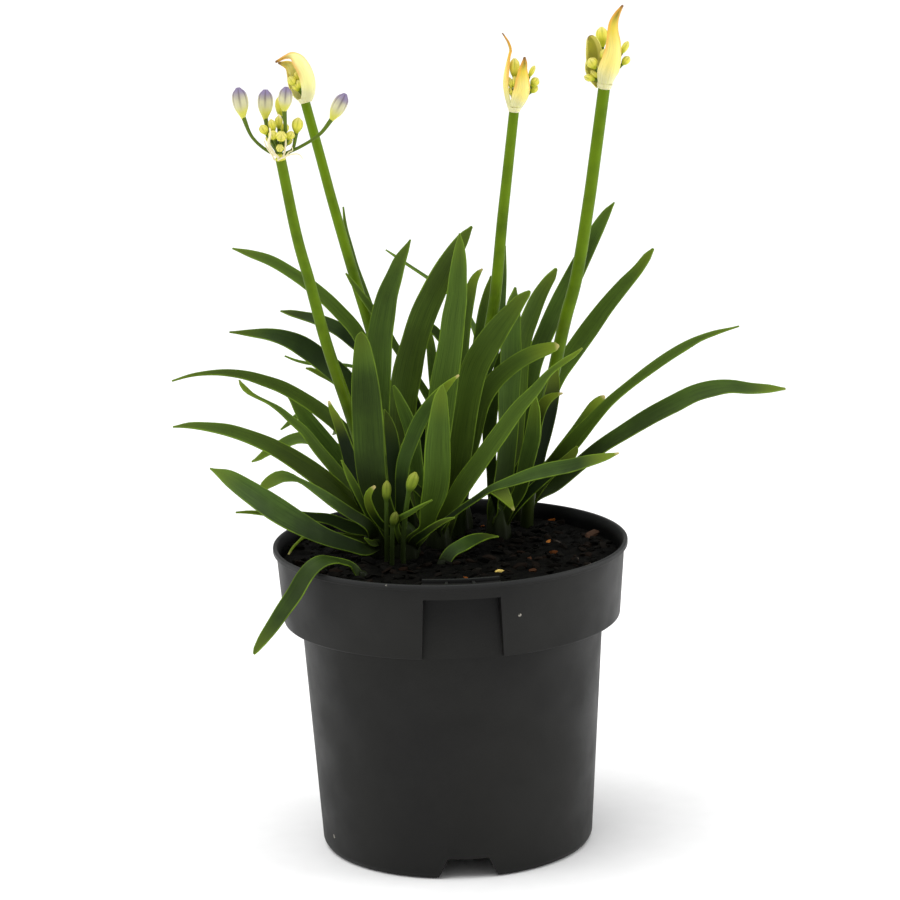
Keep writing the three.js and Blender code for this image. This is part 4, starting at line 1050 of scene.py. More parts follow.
@dataclass(frozen=True)
class StemSkin:
    """Smooth olive-lime skin of a flower stem, with faint streaks and painted shade near the soil. Heights are
    in metres.
    """

    name: str = "stem_skin"
    deep: Colour = tint(64, 88, 3)
    fresh: Colour = tint(96, 124, 8)
    roughness: float = 0.42
    lit: Fade = Fade(0.18, 0.42, -0.12, 0.14)
    blotch: Colour = tint(104, 100, 24)
    blotched: Fade = Fade(0.55, 0.75, 0.0, 0.14)
    # Painted shade: darker low down, where the leaves shade the stem.
    painted_base_shade: Colour = tint(12, 16, 5)
    base_shade_height: Fade = Fade(0.172, 0.232, 0.92, 0.0)
    specular: float = 0.1

    def build(self) -> Material:
        """Makes the material.

        Returns:
            The material.
        """
        material, bench = new_material(self.name)
        place, height = bench.place(), bench.height()
        green = {"Balance": bench.ramp(height, self.lit), "Deep": self.deep, "Fresh": self.fresh}
        skin = bench.coated(
            bench.group(cloudy_colour(), Vector=place, Scale=70.0, Depth=0.6, **green),
            (bench.ramp(bench.noise(place, 36.0), self.blotched), self.blotch),
            (bench.ramp(height, self.base_shade_height), self.painted_base_shade),
        )
        normal = bench.bump(bench.noise(place, 300.0), 0.12, 0.0004)
        bench.surface(skin, normal, self.roughness, self.specular)
        return material


@dataclass(frozen=True)
class SheathPaper:
    """Thin papery sheath: cream foot, pale yellow middle, browned and orange margins.

    Distances from a valve's tip and margins are in mm.
    """

    foot: Colour = tint(222, 218, 166)
    pale: Colour = tint(255, 250, 166)
    middle: Colour = tint(250, 231, 130)
    middle_along: Fade = Fade(0.05, 0.32)
    gold: Colour = tint(228, 202, 62)
    gold_along: Fade = Fade(0.45, 0.74)
    green: Colour = tint(188, 186, 92)
    green_streaks: Fade = Fade(0.4, 0.7, 0.0, 0.5)
    green_gilt: Fade = Fade(0.0, 1.0, 0.35, 1.0)
    olive: Colour = tint(118, 112, 22)
    olive_along: Fade = Fade(0.7, 0.92, 0.0, 0.95)
    margin: Colour = tint(232, 164, 62)
    margin_edge: Fade = Fade(0.2, 1.9, 0.7, 0.0)
    margin_along: Fade = Fade(0.2, 0.5)
    inside: Colour = tint(168, 168, 56)
    hem: Colour = tint(226, 218, 112)
    hem_edge: Fade = Fade(1.3, 2.3, 1.0, 0.0)
    tip: Colour = tint(104, 66, 40)
    tip_end: Fade = Fade(0.6, 3.0, 0.8, 0.0)
    vein_count: float = 17.0
    roughness: float = 0.5
    specular: float = 0.3
    glow: float = 0.3
    glow_reach: Point = (0.003, 0.0025, 0.001)

    def build(self) -> Material:
        """Makes the material from what each valve's vertices carry.

        Returns:
            The material.
        """
        material, bench = new_material("sheath_paper")
        names = ("across", "along", "tip", "margin", "gilt", "shade")
        across, along, tip, margin, gilt, shade = map(bench.attribute, names)
        lines = {"Across": across, "Along": bench.times(along, 2.0), "Count": self.vein_count}
        veins = bench.group(lengthwise_veins(), **lines)
        body = bench.blend(gilt, self.pale, self.middle)
        green = bench.times(bench.ramp(veins, self.green_streaks), bench.ramp(gilt, self.green_gilt))
        blush = bench.times(bench.ramp(margin, self.margin_edge), bench.ramp(along, self.margin_along))
        skin = bench.coated(
            bench.blend(bench.ramp(along, self.middle_along), self.foot, body),
            (bench.times(bench.ramp(along, self.gold_along), gilt), self.gold),
            (green, self.green),
            (bench.ramp(along, self.olive_along), self.olive),
            (blush, self.margin),
            (shade, self.inside),
            (bench.times(bench.ramp(margin, self.hem_edge), shade), self.hem),
            (bench.ramp(tip, self.tip_end), self.tip),
        )
        normal = bench.bump(veins, 0.3, 0.0004)
        bench.surface(skin, normal, self.roughness, self.specular, self.glow, self.glow_reach)
        return material


@dataclass(frozen=True)
class BudSkin:
    """Closed bud: its foot, middle and tip run into each other, with darker ribs and painted shade low down
    near the soil.
    """

    name: str
    foot: Colour
    middle: Colour
    tip: Colour
    rib: Colour
    middle_along: Fade = Fade(0.15, 0.55)
    tip_along: Fade = Fade(0.55, 0.95)
    rib_height: Fade = Fade(0.5, 1.0, 0.0, 0.65)
    rib_along: Fade = Fade(0.25, 0.75)
    # Painted shade: darker low down, where the leaves shade the young stems.
    painted_base_shade: Colour = tint(16, 22, 6)
    base_shade_height: Fade = Fade(0.174, 0.242, 0.95, 0.0)
    roughness: float = 0.42
    specular: float = 0.1
    glow: float = 0.1
    glow_reach: Point = (0.002, 0.0015, 0.0008)

    def build(self) -> Material:
        """Makes the material from each bud's own length.

        Returns:
            The material.
        """
        material, bench = new_material(self.name)
        place = bench.place()
        wander = bench.maths("MULTIPLY_ADD", bench.noise(place, 160.0), 0.3, -0.15)
        share = bench.maths("ADD", bench.attribute("along"), wander)
        raised = bench.ramp(bench.attribute("rib"), self.rib_height)
        skin = bench.coated(
            bench.blend(bench.ramp(share, self.middle_along), self.foot, self.middle),
            (bench.ramp(share, self.tip_along), self.tip),
            (bench.times(raised, bench.ramp(share, self.rib_along)), self.rib),
            (bench.ramp(bench.height(), self.base_shade_height), self.painted_base_shade),
        )
        normal = bench.bump(bench.noise(place, 700.0), 0.15, 0.0003)
        bench.surface(skin, normal, self.roughness, self.specular, self.glow, self.glow_reach)
        return material


# ---------------------------------------------------------------- pot and soil


def turns(count: int, offset: float = 0.0) -> list[float]:
    """Shares a full turn out evenly, from the pot's front.

    Args:
        count: How many places there are.
        offset: How far all of them are moved on, in places.

    Returns:
        Each place's turn about the pot's axis in radians.
    """
    return [FRONT + math.pi / 2 + 2 * math.pi * (k + offset) / count for k in range(count)]


@dataclass
class NurseryPot:
    """Stepped nursery pot with a collar, a thin lip, a recessed label panel and drain notches."""

    material: Material
    sides: int = 160
    corner: float = 1.1
    wall: float = 1.8
    foot_radius: float = 73.5
    collar_foot: float = 97.0
    collar_top: float = 100.2
    lip_foot: float = 174.8
    lip_outer: float = 102.1
    lip_inner: float = 99.8
    lip_top: float = 178.0
    shelf: float = 135.8
    profile: tuple[Pair, ...] = (
        (1, 13), (foot_radius, 13), (foot_radius, 0), (76.8, 0), (78.6, 3), (87, 134), (collar_foot, 134),
        (collar_top, lip_foot), (lip_outer, lip_foot), (lip_outer, lip_top), (lip_inner, lip_top),
        (98.1, 172.8), (95.7, shelf), (85.3, shelf), (77.7, 15), (1, 15),
    )
    panel_face: float = 94.2
    panel_foot: float = 130.0
    panel_top: float = 169.0
    panel_half: float = 0.217
    panel_foot_half: float = 0.242
    pad_top: float = 179.2
    pad_shelf: float = 177.2
    pad_foot: float = 134.2
    pad_half: float = 0.23
    pad_foot_half: float = 0.262
    pad_wall: float = 2.0
    pad_ribs: Pair = (-0.085, 0.07)
    rib_half: float = 0.008
    notches: int = 3
    notch_size: Point = (36, 16, 12)
    notch_taper: float = 0.64
    holes: int = 6
    hole_radius: float = 4.5
    hole_at: float = 58.0
    centre_foot_radius: float = 16.0
    centre_foot_height: float = 14.0
    web: float = 2.0
    web_height: float = 13.5

    def box(self, centre: Point, size: Point, turn: float = 0.0) -> Object:
        """Adds a block whose place is turned about the pot's axis.

        Args:
            centre: Its centre in mm before the turn.
            size: Its sizes in mm.
            turn: The turn about the pot's axis in radians.

        Returns:
            The block.
        """
        start_clean()
        bpy.ops.mesh.primitive_cube_add(size=MM)
        bpy.ops.transform.resize(value=size, center_override=(0, 0, 0))
        block = apply_place(named("block"))
        block.data.transform(Matrix.Rotation(turn, 4, "Z") @ Matrix.Translation(Vector(centre) * MM))
        return block

    def peg(self, centre: Point, radius: float, height: float, sides: int, turn: float = 0.0) -> Object:
        """Adds an upright peg whose place is turned about the pot's axis.

        Args:
            centre: Its centre in mm before the turn.
            radius: Its radius in mm.
            height: Its height in mm.
            sides: Its sides.
            turn: The turn about the pot's axis in radians.

        Returns:
            The peg.
        """
        start_clean()
        bpy.ops.mesh.primitive_cylinder_add(vertices=sides, radius=radius * MM, depth=height * MM)
        peg = named("peg")
        peg.data.transform(Matrix.Rotation(turn, 4, "Z") @ Matrix.Translation(Vector(centre) * MM))
        return peg

    def notch(self, turn: float) -> Object:
        """Adds a cutter for one drain notch, narrower at its top.

        Args:
            turn: The notch's turn about the pot's axis in radians.

        Returns:
            The cutter.
        """
        wide, deep, high = self.notch_size
        cutter = self.box((0, -self.foot_radius - 4, high / 2 - 1), (wide, deep, high + 2))
        with editing(cutter, "polygons", lambda face: face.normal.z > 0.9):
            bpy.ops.transform.resize(value=(self.notch_taper, 1, 1), center_override=(0, 0, 0))
        cutter.data.transform(Matrix.Rotation(turn, 4, "Z"))
        return cutter

    def cutters(self) -> Object:
        """Makes the label panel's, the notches' and the drain holes' cutter in one.

        Returns:
            The cutter.
        """
        panel = (self.panel_face, self.lip_outer + 4, self.panel_foot, self.panel_top)
        shapes = [ring_sector(*panel, self.panel_half, self.panel_foot_half)]
        shapes += [self.notch(turn) for turn in turns(self.notches)]
        hole = ((0, -self.hole_at, 15), self.hole_radius, 10, 28)
        shapes += [self.peg(*hole, turn) for turn in turns(self.holes)]
        return joined("pot_cutters", shapes)

    def additions(self) -> list[Object]:
        """Makes the pad behind the label panel with its ribs, and the webs and foot under the floor.

        Returns:
            The closed forms, in the order in which they join the pot.
        """
        inner = self.panel_face - self.wall
        block = (inner, self.lip_outer, self.pad_foot, self.pad_shelf)
        pad = ring_sector(*block, self.pad_half, self.pad_foot_half)
        foot, top = self.pad_foot - 1, self.pad_shelf + 1
        core = [(0.5, foot), (self.collar_foot - 0.6, foot), (self.collar_top - 0.8, top), (0.5, top)]
        combine(pad, "INTERSECT", turned("collar_core", core, self.sides))
        sunk = self.pad_shelf - 2
        shapes = [pad, ring_sector(inner, inner + self.pad_wall, sunk, self.pad_top, self.pad_half)]
        rib = (inner + 1, self.lip_inner + 1, sunk, self.pad_top - 1, self.rib_half)
        shapes += [ring_sector(*rib, facing=PANEL_FACING + offset) for offset in self.pad_ribs]
        high, reach = self.centre_foot_height, self.centre_foot_radius / 2
        shapes.append(self.peg((0, 0, high / 2), self.centre_foot_radius, high, 48))
        length = self.foot_radius + 1 - reach
        middle = (0, reach + length / 2, self.web_height / 2)
        web = (middle, (self.web, length, self.web_height))
        return shapes + [self.box(*web, turn) for turn in turns(self.holes, 0.5)]

    def in_recess(self, place: Vector) -> bool:
        """Tells whether a place lies on the floor of the label panel's recess.

        Args:
            place: A point of the pot in mm.

        Returns:
            Whether it does.
        """
        radius = math.hypot(place.x, place.y)
        aside = abs(math.atan2(place.y, place.x) - PANEL_FACING)
        high = self.pad_foot < place.z < self.panel_top + 0.5
        return high and abs(radius - self.panel_face) < 0.4 and aside < self.panel_foot_half + 0.01

    def rubbed(self, place: Vector) -> float:
        """Tells how much painted highlight a place gets: the lip and the pad's upper edges.

        Args:
            place: A point of the pot in mm.

        Returns:
            From 0 to 1.
        """
        if math.hypot(place.x, place.y) < self.lip_inner - 0.3:
            return float(place.z > self.pad_top - 0.1)
        return min(1.0, max(0.0, place.z - self.lip_foot - 1.2))

    def in_painted_shade(self, place: Vector) -> bool:
        """Tells whether a place gets painted shade: the wall inside under the lip, and the recess's floor.

        Args:
            place: A point of the pot in mm.

        Returns:
            Whether it is.
        """
        within = math.hypot(place.x, place.y) < self.lip_inner - 0.2
        return (within and self.shelf + 20 < place.z < self.pad_shelf - 0.3) or self.in_recess(place)

    def build(self) -> None:
        """Makes the pot and hands it over."""
        pot = turned("nursery_pot", rounded(self.profile, self.corner), self.sides)
        for extra in self.additions():
            combine(pot, "UNION", extra)
        combine(pot, "DIFFERENCE", self.cutters())
        places = [vertex.co / MM for vertex in pot.data.vertices]
        # Painted shade under the lip inside and on the recess's floor.
        carry(pot, sunk=np.array([self.in_painted_shade(place) for place in places]))
        # Painted highlight on the lip and the pad's upper edges.
        carry(pot, rubbed=np.array([self.rubbed(place) for place in places]))
        stand_for(dress(smooth(pot, 32), self.material), "pot")


@dataclass
class PottingMix:
    """Peat and bark that fill the pot, lumpy on top and strewn with chips.

    Each accent is a chip that stands out: its x, y and length in mm, its brightness and its warmth.
    Each of the lumps has its size in mm, where its noise starts, and its height in mm.
    """

    material: Material
    level: float = SOIL_LEVEL
    edge: float = 97.3
    slope: float = 6.0
    drop: float = 2.4
    crust: float = 169.0
    lumps: tuple[Point, ...] = ((17, 1.3, 1.5), (5, 7.9, 1.1), (1.9, 3.1, 0.7))
    sides: int = 220
    rows: int = 60
    chips: int = 620
    chip_forms: int = 5
    chip_lengths: Pair = (1.6, 6)
    brightest: float = 0.035
    spread: float = 92.0
    seed: int = 20
    pad_space: tuple[float, ...] = (92.1, 110, 130, 180, 0.234, 0.269)
    wall: tuple[Pair, ...] = ((1, 15.3), (77.4, 15.3), (85, 136.1), (95.4, 136.1), (97.3, 167.4))
    accents: tuple[tuple[float, ...], ...] = (
        (27, -48, 3.4, 0.9, 2.0), (60, 73, 4, 0.5, 1.0), (57, 15, 2.6, 0.6, 1.2), (19, 61, 2.5, 0.3, 0.9),
        (7, -61, 3.2, 0.3, 1.0), (83, 31, 9, 0.2, 0.35), (37, -6, 1.6, 0.7, 0.2), (40, -9, 1.4, 0.8, 0.2),
        (62, 14, 4.5, 0.22, 0.1), (59, -9, 5, 0.16, 0.8), (72, -23, 1.5, 0.6, 0.1), (79, -33, 1.2, 0.6, 0.1),
        (45, -24, 4, 0.12, 0.6), (46, -48, 4.5, 0.14, 0.5),
    )

    def height(self, x: float, y: float) -> float:
        """Gives the soil's height at a place, with soft and fine lumps.

        Args:
            x: The place's x in mm.
            y: The place's y in mm.

        Returns:
            The height in mm.
        """
        lumps = sum(
            high * noise.noise(Vector((x / size, y / size, start))) for size, start, high in self.lumps
        )
        edge = min(1.0, max(0.0, (self.edge - math.hypot(x, y)) / self.slope))
        return self.level - self.drop * (1 - edge) + lumps * edge

    def ground(self) -> Object:
        """Makes the filled body with its lumpy top.

        Returns:
            The body.
        """
        top = [(self.edge * (self.rows - i) / self.rows, self.level) for i in range(1, self.rows)]
        body = turned("potting_mix", [*self.wall, *top, (0.8, self.level)], self.sides)
        places = vertices(body)
        for place in places:
            if place[2] > self.crust * MM:
                place[2] = self.height(place[0] / MM, place[1] / MM) * MM
        set_vertices(body, places)
        combine(body, "DIFFERENCE", ring_sector(*self.pad_space))
        return carry(body, bright=0.0, warm=0.0)

    def masters(self, draw: random.Random) -> list[Object]:
        """Makes the broken chips of a few faces that all others are copied from.

        Args:
            draw: Where the breaks come from.

        Returns:
            The chips, about a millimetre long.
        """
        chips = []
        for k in range(self.chip_forms):
            start_clean()
            bpy.ops.mesh.primitive_cube_add(size=MM)
            chip = named(f"chip_{k}")
            with editing(chip):
                bpy.ops.mesh.subdivide(number_cuts=1, smoothness=0.7)
            for vertex in chip.data.vertices:
                vertex.co += Vector([draw.uniform(-0.16, 0.16) * MM for _ in range(3)])
            chips.append(chip)
        return chips

    def strewn(self, draw: random.Random) -> list[tuple[float, ...]]:
        """Strews the chips over the soil.

        Args:
            draw: Where the chips' places, lengths and colours come from.

        Returns:
            The accents and all the other chips.
        """
        chips = list(self.accents)
        for _ in range(self.chips):
            radius, angle = self.spread * math.sqrt(draw.random()), draw.uniform(0, 2 * math.pi)
            bright = self.brightest * draw.random() ** 4
            length = draw.uniform(*self.chip_lengths)
            warm = 0.5 * draw.random()
            chips.append((radius * math.cos(angle), radius * math.sin(angle), length, bright, warm))
        return chips

    def build(self) -> None:
        """Makes the soil with its chips and hands it over."""
        draw = random.Random(self.seed)
        parts = [self.ground()]
        masters = self.masters(draw)
        for i, (x, y, length, bright, warm) in enumerate(self.strewn(draw)):
            turn = [draw.uniform(-0.4, 0.4), draw.uniform(-0.4, 0.4), draw.uniform(0, math.pi)]
            size = (length, length * draw.uniform(0.35, 0.8), length * draw.uniform(0.2, 0.45))
            place = Vector((x, y, self.height(x, y) + 0.2 * size[2])) * MM
            matrix = Matrix.LocRotScale(place, Euler(turn), Vector(size))
            chip = copied(masters[i % len(masters)], f"bark_{i}", matrix)
            parts.append(carry(chip, bright=bright, warm=warm))
        for master in masters:
            bpy.data.objects.remove(master)
        mix = joined("potting_mix", parts)
        stand_for(dress(smooth(mix, 30), self.material), "soil")


# ---------------------------------------------------------------- leaves


@dataclass(frozen=True)
class Leaf:
    """One strap leaf: its colouring, where its upper face looks, and its path with widths in mm."""

    # Brightness of each leaf: partly random tone, partly painted shade for leaves that lie in shade.
    tone: float
    olive: float
    ripe: float
    face: Point
    path: tuple[Station, ...]
    tip_face: Point | None = None

    ROW = 3.0
    TIP_ROWS = (2.2, 1.4, 0.8, 0.35, 0.1, 0)
    CUP = 0.085
    COLUMNS = 10
    THICKNESS = 1.25
    MARGIN = 0.5

    def blade(self, name: str, root: Point) -> Object:
        """Makes the leaf's closed blade.

        Args:
            name: The blade's name.
            root: Where it leaves the crown, in mm.

        Returns:
            The blade.
        """
        path = [root, *(station[:3] for station in self.path)]
        widths = [self.path[0][3], *(station[3] for station in self.path)]
        length = Spine(path).length
        rows = max(10, round(length / self.ROW))
        shares = [*np.linspace(0, 1 - self.ROW / length, rows), *(1 - d / length for d in self.TIP_ROWS)]
        faces = (self.face, self.tip_face or self.face)
        sheet = ribbon(name, path, widths, self.CUP, faces, shares, self.COLUMNS)
        carry(sheet, tone=self.tone, olive=self.olive, ripe=self.ripe)
        return thicken(sheet, self.THICKNESS, self.MARGIN)


@dataclass
class Shoot:
    """A crown and the leaves that leave it."""

    name: str
    crown: Pair
    leaves: tuple[Leaf, ...]
    scale: float = 1.0
    rise: float = 1.0
    leaf_foot: float = 1.5
    root_lift: float = 0.0
    level: float = SOIL_LEVEL
    sides: int = 40
    profile: tuple[Pair, ...] = ((0.5, -20.6), (7, -20.6), (8.5, -16.6), (8.3, 0), (7, 9), (5.2, 17), (2, 20))

    def stump(self) -> Object:
        """Makes the crown, ridged where the leaves' feet clasp it.

        Returns:
            The crown.
        """
        rings = []
        for radius, height in self.profile:
            rings.append((radius * self.scale, self.level + height * (self.rise if height > 0 else 1)))
        stump = turned(f"{self.name}_crown", rounded(rings, 3 * self.rise, 4), self.sides)
        flute(stump, lambda around: 1 - 0.1 * np.abs(np.sin(3.5 * around)))
        stump.data.transform(Matrix.Translation(Vector((*self.crown, 0)) * MM))
        x, y, z = vertices(stump).T / MM
        around = np.arctan2(y - self.crown[1], x - self.crown[0])
        carry(stump, root=np.maximum(z - self.level, 0) + 4, across=around, tip=100.0)
        # A low tone darkens the crown: painted shade deep in the clump.
        carry(stump, margin=3.0, tone=-0.9, olive=0.3)
        return smooth(stump, 60)

    def build(self, skin: Material) -> None:
        """Makes the shoot and hands it over.

        Args:
            skin: The leaves' skin.
        """
        parts = [self.stump()]
        for i, leaf in enumerate(self.leaves):
            blade = leaf.blade(f"{self.name}_leaf_{i}", (*self.crown, self.level + self.leaf_foot))
            # Adding to the root distance weakens the pale root and the painted shade near the soil.
            parts.append(carry(blade, root=carried(blade, "root") + self.root_lift))
        piece = joined(self.name.replace("shoot", "leaves"), parts)
        stand_for(dress(piece, skin), self.name)


@dataclass
class SideShoot(Shoot):
    """A small low shoot whose leaf comes out of the soil, with less pale root and less painted shade near the
    soil.
    """

    scale: float = 0.42
    rise: float = 0.14
    leaf_foot: float = -2.0
    root_lift: float = 12.0


# ---------------------------------------------------------------- flower stems and buds


@dataclass
class FlowerStem:
    """A tall bare flower stem. Radii are evenly spaced along it."""

    number: int
    radii: tuple[float, ...]
    path: tuple[Point, ...]
    rings: int = 90
    fine: int = 8

    def top(self, above: float) -> tuple[np.ndarray, np.ndarray]:
        """Gives a point past the stem's end.

        Args:
            above: How far past the end, in mm.

        Returns:
            The point in mm and the stem's direction there.
        """
        spine = Spine(self.path)
        along = spine.along(1.0)
        return spine.at(1.0) + along * above, along

    def build(self, skin: Material) -> None:
        """Makes the stem and hands it over.

        Args:
            skin: Its skin.
        """
        stem = tube(f"scape_{self.number}", self.path, self.radii, self.rings, self.fine)
        stand_for(dress(smooth(stem, 50), skin), f"flower_stem_{self.number}")


@dataclass
class BudForm:
    """The closed bud that every head repeats: a drop with six blunt ribs."""

    outline: tuple[float, ...] = (0.28, 0.5, 0.78, 0.96, 1.02, 0.98, 0.8, 0.3)
    sides: int = 24
    rings: int = 14
    ribs: int = 6
    rib_height: float = 0.05

    def master(self) -> Object:
        """Makes a bud one millimetre long and one millimetre in radius, on the origin.

        Returns:
            The bud that all others are copied from.
        """
        last = len(self.outline) - 1
        heights = [0.5 - 0.5 * math.cos(math.pi * i / self.rings) for i in range(self.rings + 1)]
        rings = [(max(0.02, flowing(self.outline, h * last)), h) for h in heights]
        bud = turned("bud_master", rings, self.sides)
        flute(bud, lambda around: 1 + self.rib_height * np.cos(self.ribs * around))
        x, y, z = vertices(bud).T / MM
        carry(bud, along=z, rib=0.5 - 0.5 * np.cos(self.ribs * np.arctan2(y, x)))
        return smooth(bud, 60)


class HeldBud(NamedTuple):
    """A bud on a short straight stalk: its middle, length and radius in mm."""

    x: float
    y: float
    z: float
    length: float
    radius: float


@dataclass
class HeadMaker:
    """Makes the parts that every flower head has: the knob, the stalks and the buds."""

    bud: Object
    knob_radius: float = 1.9
    knob_height: float = 4.0

    def knob(self, stem: FlowerStem) -> Object:
        """Makes the knob at the stem's end that the flower stalks leave.

        Args:
            stem: The stem that carries the head.

        Returns:
            The knob.
        """
        foot, along = stem.top(0.0)
        r, h, edge = self.knob_radius, self.knob_height, stem.radii[-1]
        rings = [(0.3, 0), (edge, 0), (edge * 1.02, 0.8), (edge * 0.86, 1.5)]
        rings += [(r, 2.2), (r * 0.9, 0.8 * h), (0.5 * r, h), (0.2, h)]
        knob = turned("knob", rounded(rings, 0.4), 24)
        knob.data.transform(upright(foot, along))
        return smooth(carry(knob, along=0.4, rib=0.0), 60)

    def placed_bud(self, name: str, foot: np.ndarray, tip: np.ndarray, radius: float) -> Object:
        """Copies the bud to its place.

        Args:
            name: The bud's name.
            foot: Its foot in mm.
            tip: Its tip in mm.
            radius: Its radius in mm.

        Returns:
            The bud.
        """
        axis = tip - foot
        size = (radius, radius, float(np.linalg.norm(axis)))
        return copied(self.bud, name, upright(foot, unit(axis), size))

    def stalk(self, name: str, path: Sequence[Numbers], radii: Numbers) -> Object:
        """Makes a flower stalk that swells into its bud's foot.

        Args:
            name: The stalk's name.
            path: Its line's points in mm.
            radii: Its radii in mm, evenly spaced.

        Returns:
            The stalk.
        """
        stalk = tube(name, path, radii, 16, 3)
        return smooth(carry(stalk, along=0.0, rib=0.0), 60)

    def short_bud(self, name: str, stem: FlowerStem, bud: HeldBud, radius: float) -> tuple[Object, Object]:
        """Makes a small bud on a straight stalk from the knob.

        Args:
            name: The bud's name.
            stem: The stem that carries the head.
            bud: The bud's measures.
            radius: The stalk's radius in mm.

        Returns:
            The stalk and the bud.
        """
        start, _ = stem.top(0.85 * self.knob_height)
        centre = np.array(bud[:3], dtype=float)
        out = unit(centre - start)
        foot, tip = centre - out * bud.length / 2, centre + out * bud.length / 2
        line = [start, (start + foot) / 2, foot + out]
        stalk = self.stalk(f"{name}_stalk", line, (radius, radius, radius * 1.3))
        return stalk, self.placed_bud(name, foot, tip, bud.radius)


@dataclass
class Valve:
    """One valve of a sheath: its ridge with widths in mm, where its hollow faces, and its colouring."""

    ridge: tuple[Point, ...]
    widths: tuple[float, ...]
    cup: float
    hollow: Point
    shade: float = 0.0
    gilt: float = 1.0
    row: float = 0.9
    columns: int = 16
    thickness: float = 0.75
    margin: float = 0.5

    def blade(self, name: str) -> Object:
        """Makes the valve's thin curved blade.

        Args:
            name: The blade's name.

        Returns:
            The blade.
        """
        length = Spine(self.ridge).length
        rows = max(14, round(length / self.row))
        shares = [*np.linspace(0, 1 - 1.6 / length, rows), 1 - 0.8 / length, 1 - 0.3 / length, 1]
        faces = (self.hollow, self.hollow)
        sheet = ribbon(name, self.ridge, self.widths, self.cup, faces, shares, self.columns)
        return thicken(carry(sheet, shade=self.shade, gilt=self.gilt), self.thickness, self.margin)


@dataclass
class Sheath:
    """The two papery valves round a head, joined in a collar."""

    number: int
    stem: FlowerStem
    valves: tuple[Valve, Valve]
    inner: float = 2.7
    height: float = 3.0
    sides: int = 30

    def collar(self) -> Object:
        """Makes the ring at the sheath's foot, with the turned form's end faces taken out.

        Returns:
            The ring in its place.
        """
        a, b, h = self.inner, self.stem.radii[-1] + 0.25, self.height
        loop = [(a, h / 2), (a, 0), (b, 0), (b + 0.3, h / 3), (b + 0.9, h), (b + 0.4, h)]
        loop += [(a + 0.4, h / 2), (a, h / 2)]
        ring = turned("sheath_collar", rounded(loop, 0.3), self.sides)
        with editing(ring, "polygons", lambda face: len(face.vertices) == 3):
            bpy.ops.mesh.delete(type="FACE")
            bpy.ops.mesh.select_all(action="SELECT")
            close_seams()
        carry(ring, across=0.0, along=0.05, tip=30.0, margin=3.0, shade=0.0, gilt=0.0)
        smooth(ring, 50).data.transform(upright(*self.stem.top(0.05)))
        return ring

    def build(self, paper: Material) -> None:
        """Makes the sheath and hands it over.

        Args:
            paper: Its skin.
        """
        parts = [self.collar(), *(valve.blade(f"valve_{i}") for i, valve in enumerate(self.valves))]
        piece = joined(f"sheath_{self.number}", parts)
        stand_for(dress(piece, paper), f"spathe_{self.number}")


@dataclass
class ClosedHead:
    """The small buds that a sheath still holds."""

    number: int
    stem: FlowerStem
    buds: tuple[HeldBud, ...]
    stalk: float = 0.7

    def build(self, maker: HeadMaker, skin: Material, stalk_skin: Material) -> None:
        """Makes the buds with their stalks and knob, and hands them over.

        Args:
            maker: Makes the knob, the stalks and the buds.
            skin: The buds' skin.
            stalk_skin: The stalks' skin.
        """
        parts = [dress(maker.knob(self.stem), skin)]
        for i, held in enumerate(self.buds):
            stalk, bud = maker.short_bud(f"bud_{i}", self.stem, held, self.stalk)
            parts += [dress(stalk, stalk_skin), dress(bud, skin)]
        stand_for(joined(f"closed_buds_{self.number}", parts), f"buds_{self.number}")


class BudTint(Enum):
    """How far a bud of the open head has coloured."""

    LILAC = "lilac"
    GREEN = "green"


@dataclass(frozen=True)
class LongBud:
    """A bud on a long stalk: the stalk's path, the bud's tip and radius in mm, and its colouring."""

    path: tuple[Point, ...]
    tip: Point
    radius: float
    colouring: BudTint = BudTint.LILAC


@dataclass(frozen=True)
class Thread:
    """A dry bract among the stalks, thin as a thread: its radii and path in mm."""

    radii: tuple[float, ...]
    path: tuple[Point, ...]


@dataclass
class OpenUmbel:
    """The open head: lilac-tipped buds on long stalks round a tuft of small green ones."""

    stem: FlowerStem
    long: tuple[LongBud, ...]
    small: tuple[HeldBud, ...]
    threads: tuple[Thread, ...]
    stalk_radii: tuple[float, ...] = (1.0, 0.95, 1.0, 1.35)
    stalk: float = 0.8
    sunk: float = 0.08

    def build(
        self, maker: HeadMaker, tints: dict[BudTint, Material], stalk_skin: Material, dry: Material
    ) -> None:
        """Makes the umbel and hands it over.

        Args:
            maker: Makes the knob, the stalks and the buds.
            tints: The buds' skins.
            stalk_skin: The stalks' skin.
            dry: The threads' skin.
        """
        green = tints[BudTint.GREEN]
        start, _ = self.stem.top(0.6 * maker.knob_height)
        parts = [dress(maker.knob(self.stem), green)]
        for i, bud in enumerate(self.long):
            foot, tip = np.array(bud.path[-1], dtype=float), np.array(bud.tip, dtype=float)
            line = [start, *bud.path[:-1], foot + (tip - foot) * self.sunk]
            parts.append(dress(maker.stalk(f"stalk_{i}", line, self.stalk_radii), stalk_skin))
            placed = maker.placed_bud(f"long_bud_{i}", foot, tip, bud.radius)
            parts.append(dress(placed, tints[bud.colouring]))
        for i, held in enumerate(self.small):
            stalk, small = maker.short_bud(f"small_bud_{i}", self.stem, held, self.stalk)
            parts += [dress(stalk, stalk_skin), dress(small, green)]
        for i, thread in enumerate(self.threads):
            parts.append(dress(tube(f"thread_{i}", thread.path, thread.radii, 18, 2), dry))
        stand_for(joined("open_umbel", parts), "umbel_1")


